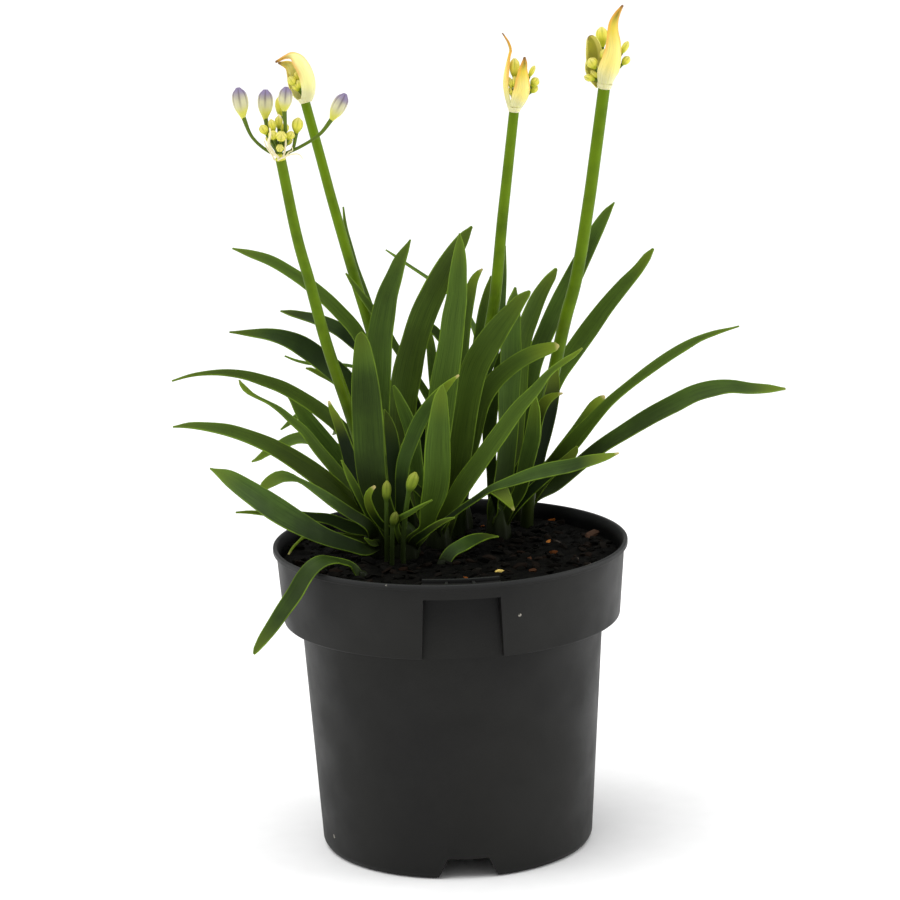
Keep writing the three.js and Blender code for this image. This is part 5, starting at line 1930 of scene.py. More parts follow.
@dataclass
class YoungStem:
    """A young flower stem that ends in its closed bud."""

    number: int
    radius: float
    path: tuple[Point, ...]
    bud_radius: float
    tip: Point
    sunk: float = 0.12

    def build(self, maker: HeadMaker, skin: Material) -> None:
        """Makes the young stem and hands it over.

        Args:
            maker: Makes the stalk and the bud.
            skin: Their skin.
        """
        foot, tip = np.array(self.path[-1], dtype=float), np.array(self.tip, dtype=float)
        line = [*self.path[:-1], foot + (tip - foot) * self.sunk]
        stalk = maker.stalk("young_stalk", line, (*(self.radius,) * 3, self.radius * 0.9))
        bud = maker.placed_bud("young_head", foot, tip, self.bud_radius)
        piece = dress(joined(f"young_scape_{self.number}", [stalk, bud]), skin)
        stand_for(piece, f"young_stem_{self.number}")


# ---------------------------------------------------------------- the plant's measures


SHOOTS: tuple[Shoot, ...] = (
    Shoot("shoot_left", (-43, 3), (
      Leaf(0.61, 0.03, 0.4, (0.1, -0.8, 0.6), ((-43, -3, 176, 7.5), (-49, -13.5, 177, 8.5),
        (-57, -20.5, 181.5, 9), (-71, -29, 189, 11), (-84.5, -38, 199, 14), (-98, -46, 210, 15.5),
        (-111, -53, 221.5, 13.5), (-123, -59, 232, 9.5), (-132, -63, 238.5, 1))),
      Leaf(0, 0.83, 0.2, (0.2, -0.75, 0.65), ((-44, 2, 188, 9), (-62.5, -3, 207, 13), (-74.5, -5, 218.5, 13),
        (-87.5, -7, 229, 12), (-100, -9, 237.5, 10.5), (-112, -10, 243.5, 9), (-124.5, -12, 248.5, 8),
        (-135.5, -13, 251, 6), (-146, -14, 252.5, 4), (-155.5, -14, 252, 1))),
      Leaf(0.49, 0.21, 0.5, (0.1, -0.8, 0.6), ((-46, -8, 189, 7), (-56.5, -14, 198.5, 7), (-65, -19, 206, 7),
        (-74, -23, 214, 5.5), (-84.5, -27, 222, 3), (-89.5, -28, 224, 5.5), (-94.5, -30, 225, 7.5),
        (-99, -32, 223.5, 7.5), (-103.5, -34, 221, 5.5), (-108, -36, 217, 1))),
      Leaf(0.54, 0.9, 0.6, (0.5, -0.8, 0.3), ((-45, 8, 190, 7), (-56, 9, 206.5, 8.5), (-65, 10, 218.5, 8.5),
        (-74.5, 9, 231, 8.5), (-82.5, 8, 242.5, 7.5), (-89.5, 7, 249.5, 6.5), (-96, 6, 256, 5),
        (-102.5, 6, 260.5, 3), (-109.5, 5, 264.5, 3.5), (-113.5, 4, 267.5, 5.5), (-116.5, 4, 271, 4),
        (-118, 4, 274.5, 1)), (0.2, -0.3, 0.9)),
      Leaf(-0.5, 0.09, 0.4, (0.2, -0.9, 0.4), ((-44, -3, 184, 7), (-57, -8, 189, 7.5), (-68.5, -12, 195, 6.5),
        (-79.5, -16, 198, 5), (-90.5, -20, 200.5, 4.5), (-104.5, -24, 202.5, 3), (-114, -26, 204, 2),
        (-121, -28, 204.5, 1))),
      Leaf(-1.22, 0, 0.9, (-0.5, -0.85, 0.1), ((-46, 0, 191, 8), (-51, -3, 209.5, 10.5), (-55, -3, 226, 10),
        (-59, -4, 241, 8), (-62.5, -4, 251.5, 6), (-65.5, -4, 258, 3.5), (-67, -4, 262.5, 1.5))),
      Leaf(0.68, 0.51, 0.3, (0.4, -0.9, 0.2), ((-45, -4, 192, 5.5), (-52, -11, 210, 5), (-56.5, -14, 220.5, 4),
        (-60.5, -16, 230.5, 1))),
      Leaf(1.07, 0, 0.2, (0, -1, 0.5), ((-42, -6, 179, 4.5), (-44.5, -9.5, 179.5, 4), (-49, -12, 183.5, 1))),
      Leaf(0.6, 0.9, 0.8, (0.1, -0.7, 0.7), ((-47, -4, 179, 4), (-68.5, -10, 186, 2.5), (-82.5, -14, 186, 2),
        (-87, -16, 183, 1.5), (-90, -17, 180, 1.5), (-92.5, -18, 176.5, 1))),
    )),
    Shoot("shoot_front", (-25, -6), (
      Leaf(-0.19, 0.33, 0.3, (-0.25, -1, 0.1), ((-32, -8, 184, 12), (-42, -11, 211.5, 16.5),
        (-44, -13, 229.5, 18), (-44.5, -14, 250, 18.5), (-45, -14, 265.5, 17.5), (-45.5, -14, 277.5, 15.5),
        (-46, -13, 287.5, 12.5), (-46.5, -12, 296, 9.5), (-47, -12, 300.5, 6.5), (-47, -12, 303.5, 2.5))),
      Leaf(0.81, 0.63, 0.5, (0.25, -1, 0.1), ((-22, -12, 180, 10), (-14.5, -13, 187.5, 8),
        (-11.5, -17, 200, 11.5), (-8, -20, 212.5, 15), (-6.5, -23, 226, 15.5), (-6, -25, 238, 15),
        (-5, -27, 250, 13), (-4, -29, 262, 10), (-3, -30, 270, 7), (-2, -31, 275.5, 1.5))),
      Leaf(0.13, 0, 1, (-0.6, -0.9, 0.1), ((-27, -7, 182, 7), (-27, -9, 207.5, 7.5), (-25.5, -10, 225.5, 8),
        (-20.5, -11, 240, 8.5), (-15, -12, 252, 8.5), (-8, -13, 262.5, 7), (-1, -13, 270, 5), (3, -14, 274, 3),
        (7.5, -14, 277.5, 1)), (0.6, -0.6, 0.5)),
      Leaf(-0.42, 0, 0.2, (0.3, -1, 0), ((-29, -4, 184, 8), (-31, -3, 215, 8.5), (-31.5, -3, 231.5, 9),
        (-32.5, -2, 242.5, 8), (-34, -1, 250.5, 5), (-35.5, -1, 256, 1))),
      Leaf(0.96, 0.6, 0.2, (0.3, -0.9, 0.3), ((-30, -14, 186, 3.5), (-29.5, -25, 196.5, 3.5),
        (-21.5, -32, 203, 3), (-15.5, -34, 207, 2), (-9.5, -36, 210.5, 1))),
      Leaf(-0.1, 0, 0.3, (0.2, -0.9, 0.4), ((-21, -14, 181, 5), (-15.5, -24, 187.5, 4.5), (-9.5, -29, 193, 4),
        (-3, -33, 197.5, 3), (3, -36, 200, 1))),
      Leaf(0.17, 0.12, 0.9, (-0.2, -1, 0.2), ((-33, -13, 186, 5), (-40, -20, 194.5, 4.5),
        (-44.5, -25, 203.5, 5), (-46, -27, 210.5, 4.5), (-44.5, -29, 215, 3.5), (-41.5, -30, 218, 1.5))),
    )),
    Shoot("shoot_back_left", (-38, 42), (
      Leaf(0.3, 0.46, 0.2, (-0.4, -1, 0.1), ((-36, 36, 190, 11), (-38, 36, 230, 11.5), (-39, 30, 255, 15),
        (-38, 22.5, 277, 16), (-36.5, 19, 295.5, 15.5), (-34, 18, 309, 14.5), (-31.5, 17, 319.5, 12.5),
        (-27.5, 16, 330, 10), (-24, 15, 339.5, 7.5), (-20.5, 15, 346, 4), (-18, 15, 351, 1))),
      Leaf(0.85, 0.9, 0.3, (0.3, -0.9, 0.4), ((-38, 44, 192, 7.5), (-40, 50, 251, 7.5), (-49.5, 56, 287, 8.5),
        (-62, 59, 303, 8.5), (-75.5, 63, 315.5, 8), (-89.5, 66, 325.5, 7), (-101, 69, 332, 6.5),
        (-113, 72, 336, 4.5), (-123, 74, 339, 1))),
      Leaf(-0.47, 0, 0.2, (0.2, -0.85, 0.5), ((-39, 50, 203, 7), (-38.5, 62, 236.5, 7), (-44.5, 72, 272.5, 8.5),
        (-53.5, 76, 281, 9), (-61.5, 78, 287.5, 9), (-73.5, 82, 293, 7.5), (-84, 86, 295.5, 5.5),
        (-91, 88, 297, 4), (-97, 90, 298, 1))),
      Leaf(-0.38, 0.04, 0.3, (0.3, -0.85, 0.45), ((-40, 42, 199, 9), (-46, 39, 232.5, 10.5),
        (-51.5, 38, 252, 12), (-59.5, 37, 266, 13.5), (-70, 36, 276.5, 13), (-82.5, 36, 286.5, 12.5),
        (-92, 36, 291.5, 10), (-101.5, 37, 294, 7.5), (-112.5, 38, 295, 4.5), (-124.5, 38, 296, 1))),
      Leaf(-0.14, 0.9, 0.4, (0.2, -0.75, 0.65), ((-43, 36, 197, 8), (-56.5, 29, 232, 9.5),
        (-63.5, 27, 241.5, 9.5), (-73, 25, 250.5, 9.5), (-82.5, 23, 258, 9), (-94, 21, 265.5, 8.5),
        (-104.5, 18, 270.5, 7.5), (-115, 16, 274.5, 6), (-126.5, 13, 277, 4.5), (-136.5, 11, 277.5, 3),
        (-146, 8, 277, 2), (-156.5, 6, 274.5, 1))),
      Leaf(0.87, 0.17, 0.2, (0.4, -0.9, 0.2), ((-44, 38, 193, 11), (-51, 38, 199, 12.5), (-60.5, 38, 213, 12.5),
        (-70.5, 39, 226.5, 12), (-79.5, 40, 239, 10.5), (-85.5, 41, 248, 7.5), (-92, 42, 256, 1))),
      Leaf(1.06, 0.9, 0.4, (0.2, -0.8, 0.6), ((-45, 46, 192, 6.5), (-60.5, 54, 217, 6.5), (-72, 60, 223.5, 7.5),
        (-81.5, 63, 226, 8), (-88, 65, 226, 7.5), (-95, 67, 223.5, 7), (-102, 69, 219.5, 5.5),
        (-108.5, 70, 216, 4.5), (-112.5, 71, 213, 3), (-116.5, 72, 211, 1))),
      Leaf(0.5, 0.1, 0.2, (0.1, -0.9, 0.4), ((-44, 50, 194, 5), (-63.5, 76, 228, 4), (-80, 82, 240.5, 4.5),
        (-89, 86, 235, 3.5), (-94, 88, 230.5, 3), (-99.5, 90, 226, 1))),
      Leaf(0.4, 0.2, 0.3, (0.1, -0.9, 0.4), ((-36, 50, 197, 3.5), (-42, 78, 233, 2.5), (-48, 90, 259.5, 2.5),
        (-57, 94, 263, 2), (-73.5, 98, 263.5, 2), (-82, 100, 264, 2), (-90, 101, 266, 1.5),
        (-96, 102, 268.5, 1))),
      Leaf(0.4, 0.7, 0.6, (0.3, -0.9, 0.3), ((-44, 46, 196, 6), (-51.5, 46, 249.5, 5), (-60.5, 47, 259.5, 3.5),
        (-67.5, 48, 264.5, 3), (-73.5, 48, 268, 3), (-78, 48, 270.5, 2.5), (-81.5, 48, 271.5, 1))),
      Leaf(0.64, 0.9, 0.2, (0.6, -0.8, 0), ((-36, 54, 210, 5), (-34.5, 68, 247, 5), (-38.5, 70, 287, 4.5),
        (-43.5, 70, 304.5, 3.5), (-47, 69, 315.5, 3.5), (-50.5, 68, 327, 3), (-53.5, 67, 339, 3),
        (-56, 66, 350.5, 2.5), (-57, 66, 363, 1))),
      Leaf(0.2, 0.2, 0.3, (0.3, 0.8, 0.5), ((-43, 52, 192, 8), (-52, 78, 214, 13), (-62, 108, 222, 11),
        (-70, 136, 212, 1))),
      Leaf(0.1, 0.2, 0.3, (-0.4, 0.7, 0.6), ((-36, 54, 196, 7), (-38, 84, 224, 11), (-44, 118, 232, 9.5),
        (-48, 150, 220, 1))),
    )),
    Shoot("shoot_middle", (-7, 14), (
      Leaf(-0.03, 0.9, 0.2, (0.35, -1, 0.1), ((-17, 21, 196, 10), (-26, 26, 232, 15), (-25.5, 27.5, 254, 17),
        (-22.5, 29, 271.5, 18), (-18, 30, 288.5, 16), (-12.5, 31, 304, 16), (-6, 32, 317.5, 15),
        (0.5, 33, 329.5, 13.5), (6.5, 34, 339.5, 10.5), (12.5, 36, 348, 7), (17.5, 38, 354, 1.5))),
      Leaf(0.81, 0.64, 0.3, (-0.2, -1, 0.1), ((-9, 14, 190, 10), (-5.5, 10, 235, 14.5), (-2.5, 8, 257.5, 16),
        (-0.5, 7, 270.5, 16), (2, 6, 283.5, 15), (4, 5, 295.5, 14), (5.5, 4, 307, 13.5), (7.5, 3, 318.5, 12),
        (8.5, 3, 330, 10.5), (9.5, 2, 340.5, 8.5), (10, 2, 349.5, 5), (10, 2, 356, 1))),
      Leaf(0.84, 0.9, 0.6, (-0.3, -0.95, 0.3), ((-6, 10, 182, 8), (7.5, 2, 208.5, 11), (18.5, -2, 224.5, 10.5),
        (30, -6, 241, 10), (41.5, -9, 257, 8.5), (50.5, -11, 267, 6.5), (59, -13, 277.5, 4),
        (67.5, -14, 284, 3.5), (73.5, -15, 288, 2.5), (77.5, -16, 291.5, 1))),
      Leaf(0.19, 0.07, 0.9, (-0.1, -0.8, 0.6), ((-6, 6, 183, 5), (4.5, -6, 196, 4), (15, -12, 204.5, 4),
        (24, -17, 211.5, 4.5), (35, -22, 216.5, 6.5), (46, -26, 221, 8), (57.5, -29, 224.5, 9),
        (68.5, -32, 227, 8.5), (80, -35, 230.5, 7), (89, -37, 233, 4.5), (96, -39, 235.5, 1))),
      Leaf(1.3, 0.13, 0.2, (-0.4, -1, 0), ((-14, 12, 188, 7), (-18.5, 7, 224, 9), (-20.5, 6, 242, 9),
        (-24, 5, 253, 8), (-26.5, 4, 260, 6), (-28.5, 3, 265.5, 4), (-30, 3, 269, 1.5))),
      Leaf(-0.24, 0.3, 0.2, (0.2, -1, 0.1), ((-13, 10, 200, 5), (-28.5, 3, 219.5, 4), (-27.5, 2, 228, 3),
        (-26, 2, 235, 1))),
      Leaf(-0.9, 0, 0, (0, -1, 0.05), ((-6, 20, 198, 9), (-14, 34, 212, 9), (-15.5, 36, 223.5, 9.5),
        (-16.5, 37, 238, 8), (-17, 37, 248.5, 6), (-17.5, 37, 256, 1.5))),
      Leaf(0.25, 0.89, 0.3, (-0.3, -1, 0.2), ((0, 18, 190, 11), (1.5, 22, 196.5, 15), (6, 22, 223, 16.5),
        (12, 21, 255.5, 16), (17, 21, 274, 16), (22.5, 20, 284.5, 15.5), (28.5, 19, 293.5, 14.5),
        (33.5, 18, 300.5, 12.5), (39, 17, 307.5, 10), (43.5, 16, 313.5, 7.5), (47, 15, 317, 5),
        (49.5, 15, 319.5, 2))),
      Leaf(0.4, 0.9, 0.8, (0, -0.9, 0.45), ((-1, 22, 192, 8), (13, 28, 224.5, 8.5), (20.5, 26, 253, 10),
        (27, 25, 264, 10.5), (35, 23, 272, 10), (43, 21, 278, 9.5), (51.5, 19, 282.5, 9), (58.5, 17, 285, 7.5),
        (63, 16, 286.5, 5.5), (65.5, 16, 287, 2.5))),
    )),
    Shoot("shoot_back", (6, 58), (
      Leaf(1.5, 0.9, 0.8, (-0.5, -0.9, 0.1), ((7, 56, 201, 6), (7.5, 55, 236.5, 8), (10.5, 53, 278.5, 8),
        (13, 52, 299.5, 8), (15.5, 51, 312, 7.5), (18, 50, 320.5, 5.5), (20.5, 50, 324.5, 3.5),
        (23, 50, 327, 1))),
      Leaf(1.15, 0.9, 0.3, (0.4, -0.9, 0), ((8, 60, 235, 6), (16.5, 61, 265, 7), (20.5, 61, 289, 6.5),
        (23, 61, 302, 6), (25.5, 60, 312.5, 4), (28, 60, 321, 1))),
      Leaf(0.02, 0, 0.3, (0.4, -0.9, 0), ((11, 62, 230, 5), (28.5, 56, 276.5, 6), (32, 52, 295, 6),
        (33.5, 50, 309.5, 5.5), (34.5, 49, 323, 5), (35.5, 48, 332.5, 3), (36.5, 48, 340.5, 1))),
      Leaf(0.3, 0.3, 0.3, (0.3, -0.3, 0.9), ((4, 58, 200, 4), (21, 66, 258, 4), (18.5, 72, 284, 4.5),
        (14, 75, 294, 5), (2, 80, 308.5, 4.5), (-10, 84, 317, 3.5), (-21, 86, 324.5, 3), (-27.5, 88, 329, 2.5),
        (-33.5, 90, 333, 1))),
      Leaf(1.5, 0.61, 0.9, (0.4, -0.9, 0.1), ((2, 58, 194, 5), (-4.5, 60, 230, 5), (-7.5, 61, 256.5, 5),
        (-8, 61, 273, 6), (-8.5, 61, 280.5, 5.5), (-10, 61, 287.5, 5), (-12.5, 61, 292.5, 3),
        (-16.5, 61, 297, 1))),
      Leaf(1.5, 0.9, 0.2, (0.3, -0.9, 0.2), ((-2, 58, 197, 5), (3, 60, 229.5, 5.5), (-8, 58, 246, 5.5),
        (-15, 56, 258.5, 4.5), (-22, 52, 271, 4.5), (-29, 49, 283, 4.5), (-35, 46, 295, 4.5),
        (-41, 44, 305, 4.5), (-46.5, 42, 313.5, 4), (-52, 40, 322, 3), (-56, 39, 328.5, 1))),
      Leaf(-0.4, 0.1, 0.1, (0.2, -0.9, 0.3), ((10, 54, 197, 5), (13.5, 70, 233, 5.5), (5.5, 76, 268.5, 5.5),
        (-3, 78, 282.5, 5.5), (-8.5, 80, 288, 5), (-15.5, 82, 293, 1))),
      Leaf(0.2, 0.2, 0.3, (0.3, 0.7, 0.6), ((4, 68, 194, 7), (-2, 92, 226, 12), (-6, 122, 238, 10.5),
        (-12, 154, 228, 1))),
      Leaf(0.2, 0.3, 0.3, (-0.4, 0.8, 0.4), ((10, 66, 196, 7), (16, 88, 224, 11), (24, 112, 236, 9.5),
        (32, 142, 224, 1))),
    )),
    Shoot("shoot_front_right", (28, 34), (
      Leaf(0.25, 0.28, 0.2, (0.35, -1, 0), ((27, 33, 190, 11), (30, 33, 196, 12.5), (33.5, 34, 216.5, 11.5),
        (35.5, 35, 237, 12.5), (36, 36, 254.5, 13.5), (37.5, 36, 272.5, 13.5), (38, 35, 288.5, 12.5),
        (39, 35, 300.5, 10.5), (40, 34, 310, 7.5), (41.5, 34, 318.5, 1.5))),
      Leaf(0.14, 0.29, 0, (-0.3, -1, 0), ((26, 40, 196, 7), (25.5, 44, 208.5, 6.5), (24.5, 46, 226, 8),
        (26, 47, 242.5, 8), (29.5, 47, 260.5, 7.5), (33.5, 46, 276, 5.5), (36, 46, 284, 1.5))),
      Leaf(0.42, 0.31, 0.4, (-0.35, -0.9, 0.1), ((35, 30, 188, 6), (41.5, 27, 200, 8), (45, 24, 215, 9.5),
        (47.5, 22, 225, 10), (49.5, 20, 234.5, 9.5), (50.5, 19, 243.5, 8), (51, 18, 250.5, 6),
        (51.5, 18, 257, 1.5))),
      Leaf(-1.24, 0, 0.7, (0.1, -0.6, 0.8), ((27, 26, 188, 8), (25, 10, 204, 9.5), (28, 3, 206, 11.5),
        (31.5, -3, 203.5, 8.5), (34, -7, 201, 5.5), (37, -9, 196.5, 1.5))),
      Leaf(-0.7, 0, 0.5, (-0.2, -0.9, 0.4), ((37, 32, 187, 6), (56, 30, 206, 6), (65, 29, 213, 6.5),
        (71, 28, 218.5, 6), (74, 28, 222.5, 4), (75, 28, 225, 1.5))),
      Leaf(-1.05, 0, 0.5, (0.3, -0.95, 0.1), ((36, 38, 192, 10), (49, 46, 207.5, 11), (53, 46, 220.5, 11),
        (56.5, 46, 232.5, 11), (59.5, 45, 244.5, 10.5), (61.5, 44, 254.5, 9.5), (63, 43, 262.5, 7),
        (65, 43, 268, 2))),
      Leaf(-1.05, 0.7, 0.9, (-0.3, -0.9, 0.4), ((34, 36, 196, 7), (50, 39, 224, 7.5), (52, 40, 235.5, 7.5),
        (55, 39, 245.5, 7.5), (59, 38, 251, 6), (63, 37, 253.5, 3.5), (67.5, 36, 255, 1))),
    )),
    Shoot("shoot_right", (42, 74), (
      Leaf(0.31, 0.9, 0.4, (0.4, -0.9, 0.1), ((39, 80, 190, 9), (42, 92, 240, 12), (44, 96, 263.5, 12.5),
        (46.5, 98, 277, 12), (51, 99, 289, 11.5), (56, 100, 300, 10), (60.5, 100, 307.5, 8),
        (64.5, 100, 313, 6), (67.5, 100, 317.5, 2))),
      Leaf(-0.01, 0.39, 0.2, (-0.3, -0.95, 0.15), ((43, 82, 190, 10), (47, 94, 221, 11), (52, 102, 257, 11),
        (61, 108, 278, 11), (68.5, 112, 292.5, 11.5), (76.5, 115, 306.5, 11.5), (85, 118, 322, 10),
        (93.5, 119, 338, 8), (99, 120, 347, 5), (103.5, 120, 353, 1))),
      Leaf(0.34, 0.76, 0.5, (-0.4, -0.9, 0.2), ((46, 76, 190, 9), (52.5, 76, 224.5, 11.5),
        (65.5, 78, 256, 11.5), (75.5, 79, 270, 11.5), (85.5, 80, 283.5, 11.5), (96, 80, 297.5, 10),
        (106.5, 79, 310, 8.5), (115, 78, 319.5, 6.5), (120.5, 78, 327, 5), (124, 78, 331.5, 1.5))),
      Leaf(0.52, 0.9, 0.4, (-0.2, -0.85, 0.5), ((51, 70, 188, 8), (64, 56, 209.5, 10.5), (76, 48, 225.5, 10),
        (86, 43, 238, 7.5), (95, 39, 248.5, 6), (106.5, 35, 259, 5.5), (118, 31, 268.5, 6), (129.5, 28, 277, 6),
        (139, 26, 283, 5.5), (147, 24, 287.5, 4), (156, 22, 291, 3), (164, 20, 293.5, 1.5), (169, 19, 295, 1))),
      Leaf(1.4, 0.9, 1, (-0.2, -0.9, 0.4), ((46, 82, 190, 8), (59.5, 84, 199.5, 8), (70, 86, 212, 7.5),
        (77.5, 88, 221, 7.5), (83.5, 89, 229, 7.5), (88, 90, 235.5, 6.5), (92, 91, 239, 5),
        (94.5, 92, 241, 2))),
      Leaf(0.1, 0.31, 0.6, (-0.1, -0.75, 0.65), ((50, 75, 184, 9), (63, 74, 191.5, 10), (78, 71, 204, 9.5),
        (90.5, 69, 214.5, 9.5), (105.5, 66, 224.5, 10.5), (120, 64, 233.5, 11.5), (134.5, 61, 241.5, 12),
        (146, 59, 247.5, 11.5), (156, 57, 250.5, 11), (166.5, 55, 252, 9), (178, 53, 251, 7.5),
        (189, 51, 251, 5.5), (198.5, 50, 251, 1.5))),
      Leaf(0.2, 0.5, 0.5, (-0.1, -0.75, 0.65), ((52, 78, 186, 4), (69.5, 78, 199.5, 3), (78.5, 80, 205, 2.5),
        (84.5, 82, 208, 2), (89, 83, 210, 1))),
      Leaf(0, 0.2, 0.3, (-0.5, 0.6, 0.6), ((47, 82, 190, 8), (48, 104, 204, 12), (50, 126, 204, 10.5),
        (52, 146, 194, 1))),
      Leaf(-0.1, 0.2, 0.3, (0.2, 0.7, 0.7), ((42, 86, 194, 7), (46, 112, 214, 11), (46, 140, 220, 9.5),
        (42, 168, 206, 1))),
    )),
    SideShoot("side_shoot_over_rim", (-50, -47), (
      Leaf(0.85, 0.21, 0.3, (-0.15, -0.45, 0.9), ((-57, -52, 178, 8), (-63, -58, 181.5, 10),
        (-68, -64, 184, 11), (-73, -69, 184, 11), (-77.5, -72.5, 181.5, 11), (-82, -74, 176, 11.5),
        (-86.5, -74.5, 168.5, 11.5), (-93.5, -75, 159, 10.5), (-100, -76, 150, 9), (-105.5, -77, 143, 7),
        (-109.5, -77.5, 137.5, 4), (-111, -78, 135, 1.5)), (-0.5, -0.75, 0.35)),
    )),
    SideShoot("side_shoot_low", (-5, -25), (
      Leaf(0.8, 0, 0.3, (0.2, -0.55, 0.8), ((0, -22.5, 176, 7.5), (6.5, -17.5, 178.5, 8.5),
        (12.5, -9, 179.5, 8), (19.5, 1, 179, 5.5), (28, 13, 176, 1))),
    )),
)

STEMS: tuple[FlowerStem, ...] = (
    FlowerStem(1, (3.9, 3), (
        (-43, 20, 150), (-43, 20, 180), (-47, 19, 216), (-54.5, 17, 246.5), (-65, 12, 283),
        (-69.5, 9, 301), (-76, 5, 331), (-81.5, 2, 354.5), (-89, -8, 402))),
    FlowerStem(2, (3.6, 2.8), (
        (-22, 40, 150), (-22, 40, 178), (-30, 43, 228), (-36, 45, 264), (-44.5, 48, 299),
        (-51, 50, 322.5), (-63, 53, 369), (-68.5, 54, 392.5), (-76.5, 56, 425.5))),
    FlowerStem(3, (4.4, 2.9), (
        (5, 36, 150), (5, 36, 180), (11, 37, 220), (18.5, 38, 258), (25, 40, 287), (29.5, 41, 310),
        (35, 40, 357), (38, 38, 380.5), (43, 34, 420))),
    FlowerStem(4, (3.9, 3.5), (
        (46, 57, 150), (46, 57, 180), (53, 58, 218), (59.5, 57, 246.5), (70.5, 53, 295),
        (77, 51, 318.5), (85.5, 48, 366), (89, 46, 389.5), (95, 44, 430.5))),
)

YOUNG_STEMS: tuple[YoungStem, ...] = (
    YoungStem(1, 1.3, ((-36.4, -21, 158), (-36.4, -21, 176), (-35.7, -24, 206.1)), 2.5, (-34.9, -25, 219.7)),
    YoungStem(2, 1.5, ((-27, -23, 158), (-27, -23, 176), (-25.8, -23.5, 194), (-23.3, -27.5, 212.1)),
              3, (-18.5, -29, 225.1)),
    YoungStem(3, 1.4, ((-33.4, -27, 158), (-33.4, -27, 172), (-32.9, -29, 193.2)), 2.3, (-30.2, -30, 202.7)),
)

SHEATHS: tuple[Sheath, ...] = (
    Sheath(2, STEMS[1], (
        Valve(((-74.9, 53.2, 426.8), (-73.2, 52.8, 432.1), (-73.1, 52.2, 438.2), (-75.5, 52, 445.9),
               (-79.2, 52, 451), (-82.9, 52, 453.2), (-86.5, 52, 452.7), (-92.7, 52, 449.8)),
              (7, 8.6, 9.5, 9, 7.9, 4.6, 2.2, 1), 0.34, (-0.5, 0.87, -0.1), gilt=0.0),
        Valve(((-77.9, 58.9, 426.4), (-80.7, 60, 430.8), (-82.8, 60.4, 436.6), (-83.8, 60, 442.5),
               (-86, 58.5, 447), (-91.4, 56.5, 449)),
              (5, 8.5, 9.5, 8.5, 5.5, 1), 0.28, (0.45, -0.9, 0), shade=0.35, gilt=0.0))),
    Sheath(3, STEMS[2], (
        Valve(((39.9, 33.1, 422.2), (38.1, 33.2, 429.8), (37.5, 32.8, 435.5), (38, 32.6, 441.2),
               (39.3, 32.6, 446.9), (40.6, 32.6, 452), (41.4, 32.4, 455.4), (40.3, 32.2, 459.7),
               (38.8, 32, 462.6), (37.2, 32, 465.2)),
              (4.5, 5.6, 6, 5.6, 4, 2.6, 2.6, 2.2, 1.4, 0.9), 0.3, (1, 0.3, 0)),
        Valve(((43.9, 30.9, 422.2), (46.6, 29.2, 427.7), (48.3, 28.4, 432.9), (48.7, 28.2, 438.6),
               (48.9, 28.8, 444.2), (49.6, 29.6, 448.1), (49.6, 30, 451.5)),
              (7, 9.2, 9.2, 7.6, 5, 3.2, 1), 0.3, (-0.25, 1, 0)))),
    Sheath(4, STEMS[3], (
        Valve(((95.6, 40.8, 431.8), (97.3, 37.6, 438.5), (98.8, 36.6, 443.1), (100, 36.4, 447.7),
               (100.8, 36.6, 452.2), (101.1, 37.2, 457.2), (100.8, 38.2, 463.4), (101.3, 39.2, 468.4),
               (103.3, 40.2, 473.3), (106.4, 41, 478.2)),
              (8, 11.8, 12, 11, 9.6, 8.4, 6.4, 5.2, 3.2, 1), 0.33, (-0.2, 1, 0)),
        Valve(((92.9, 46.9, 431.8), (89.4, 48.6, 436.9), (87.9, 49.4, 441.9), (88.7, 49.6, 446.5),
               (88.5, 48.8, 452.3), (87.6, 46.8, 456.8), (86.6, 43.8, 460), (86.8, 40.6, 461)),
              (6, 7.5, 9.2, 9.6, 9.8, 8.6, 6, 3), 0.3, (0.35, -0.95, 0), shade=0.9))),
)

CLOSED_HEADS: tuple[ClosedHead, ...] = (
    ClosedHead(2, STEMS[1], (
        HeldBud(-83.5, 54.8, 438.2, 6.6, 2.4), HeldBud(-81.4, 55.4, 434.8, 6, 2),
        HeldBud(-80.4, 56.6, 440.6, 6.4, 2), HeldBud(-79.6, 54.6, 436.4, 5.6, 1.8))),
    ClosedHead(3, STEMS[2], (
        HeldBud(43.9, 35, 444.3, 12, 2.8), HeldBud(53.5, 35.6, 442.2, 8, 1.4),
        HeldBud(55, 37, 436, 6.4, 2.4), HeldBud(54.5, 38.4, 431.8, 6, 2),
        HeldBud(41.4, 32.2, 436, 8, 1.3), HeldBud(43.6, 31.8, 436.6, 8, 1.4),
        HeldBud(41.7, 32.6, 431, 7, 1.2))),
    ClosedHead(4, STEMS[3], (
        HeldBud(94.8, 53, 459, 11.8, 3.4), HeldBud(88.6, 42, 445.3, 7, 3.1),
        HeldBud(87, 42.5, 436.9, 7, 2), HeldBud(90.2, 43.4, 438.8, 7, 1.8),
        HeldBud(107.2, 46.4, 453.2, 8.6, 1.8), HeldBud(107.6, 46.8, 445.7, 6.6, 2.1),
        HeldBud(95.4, 43.6, 449.2, 8, 2.4), HeldBud(101.8, 50.4, 449.5, 8.6, 2.6))),
)

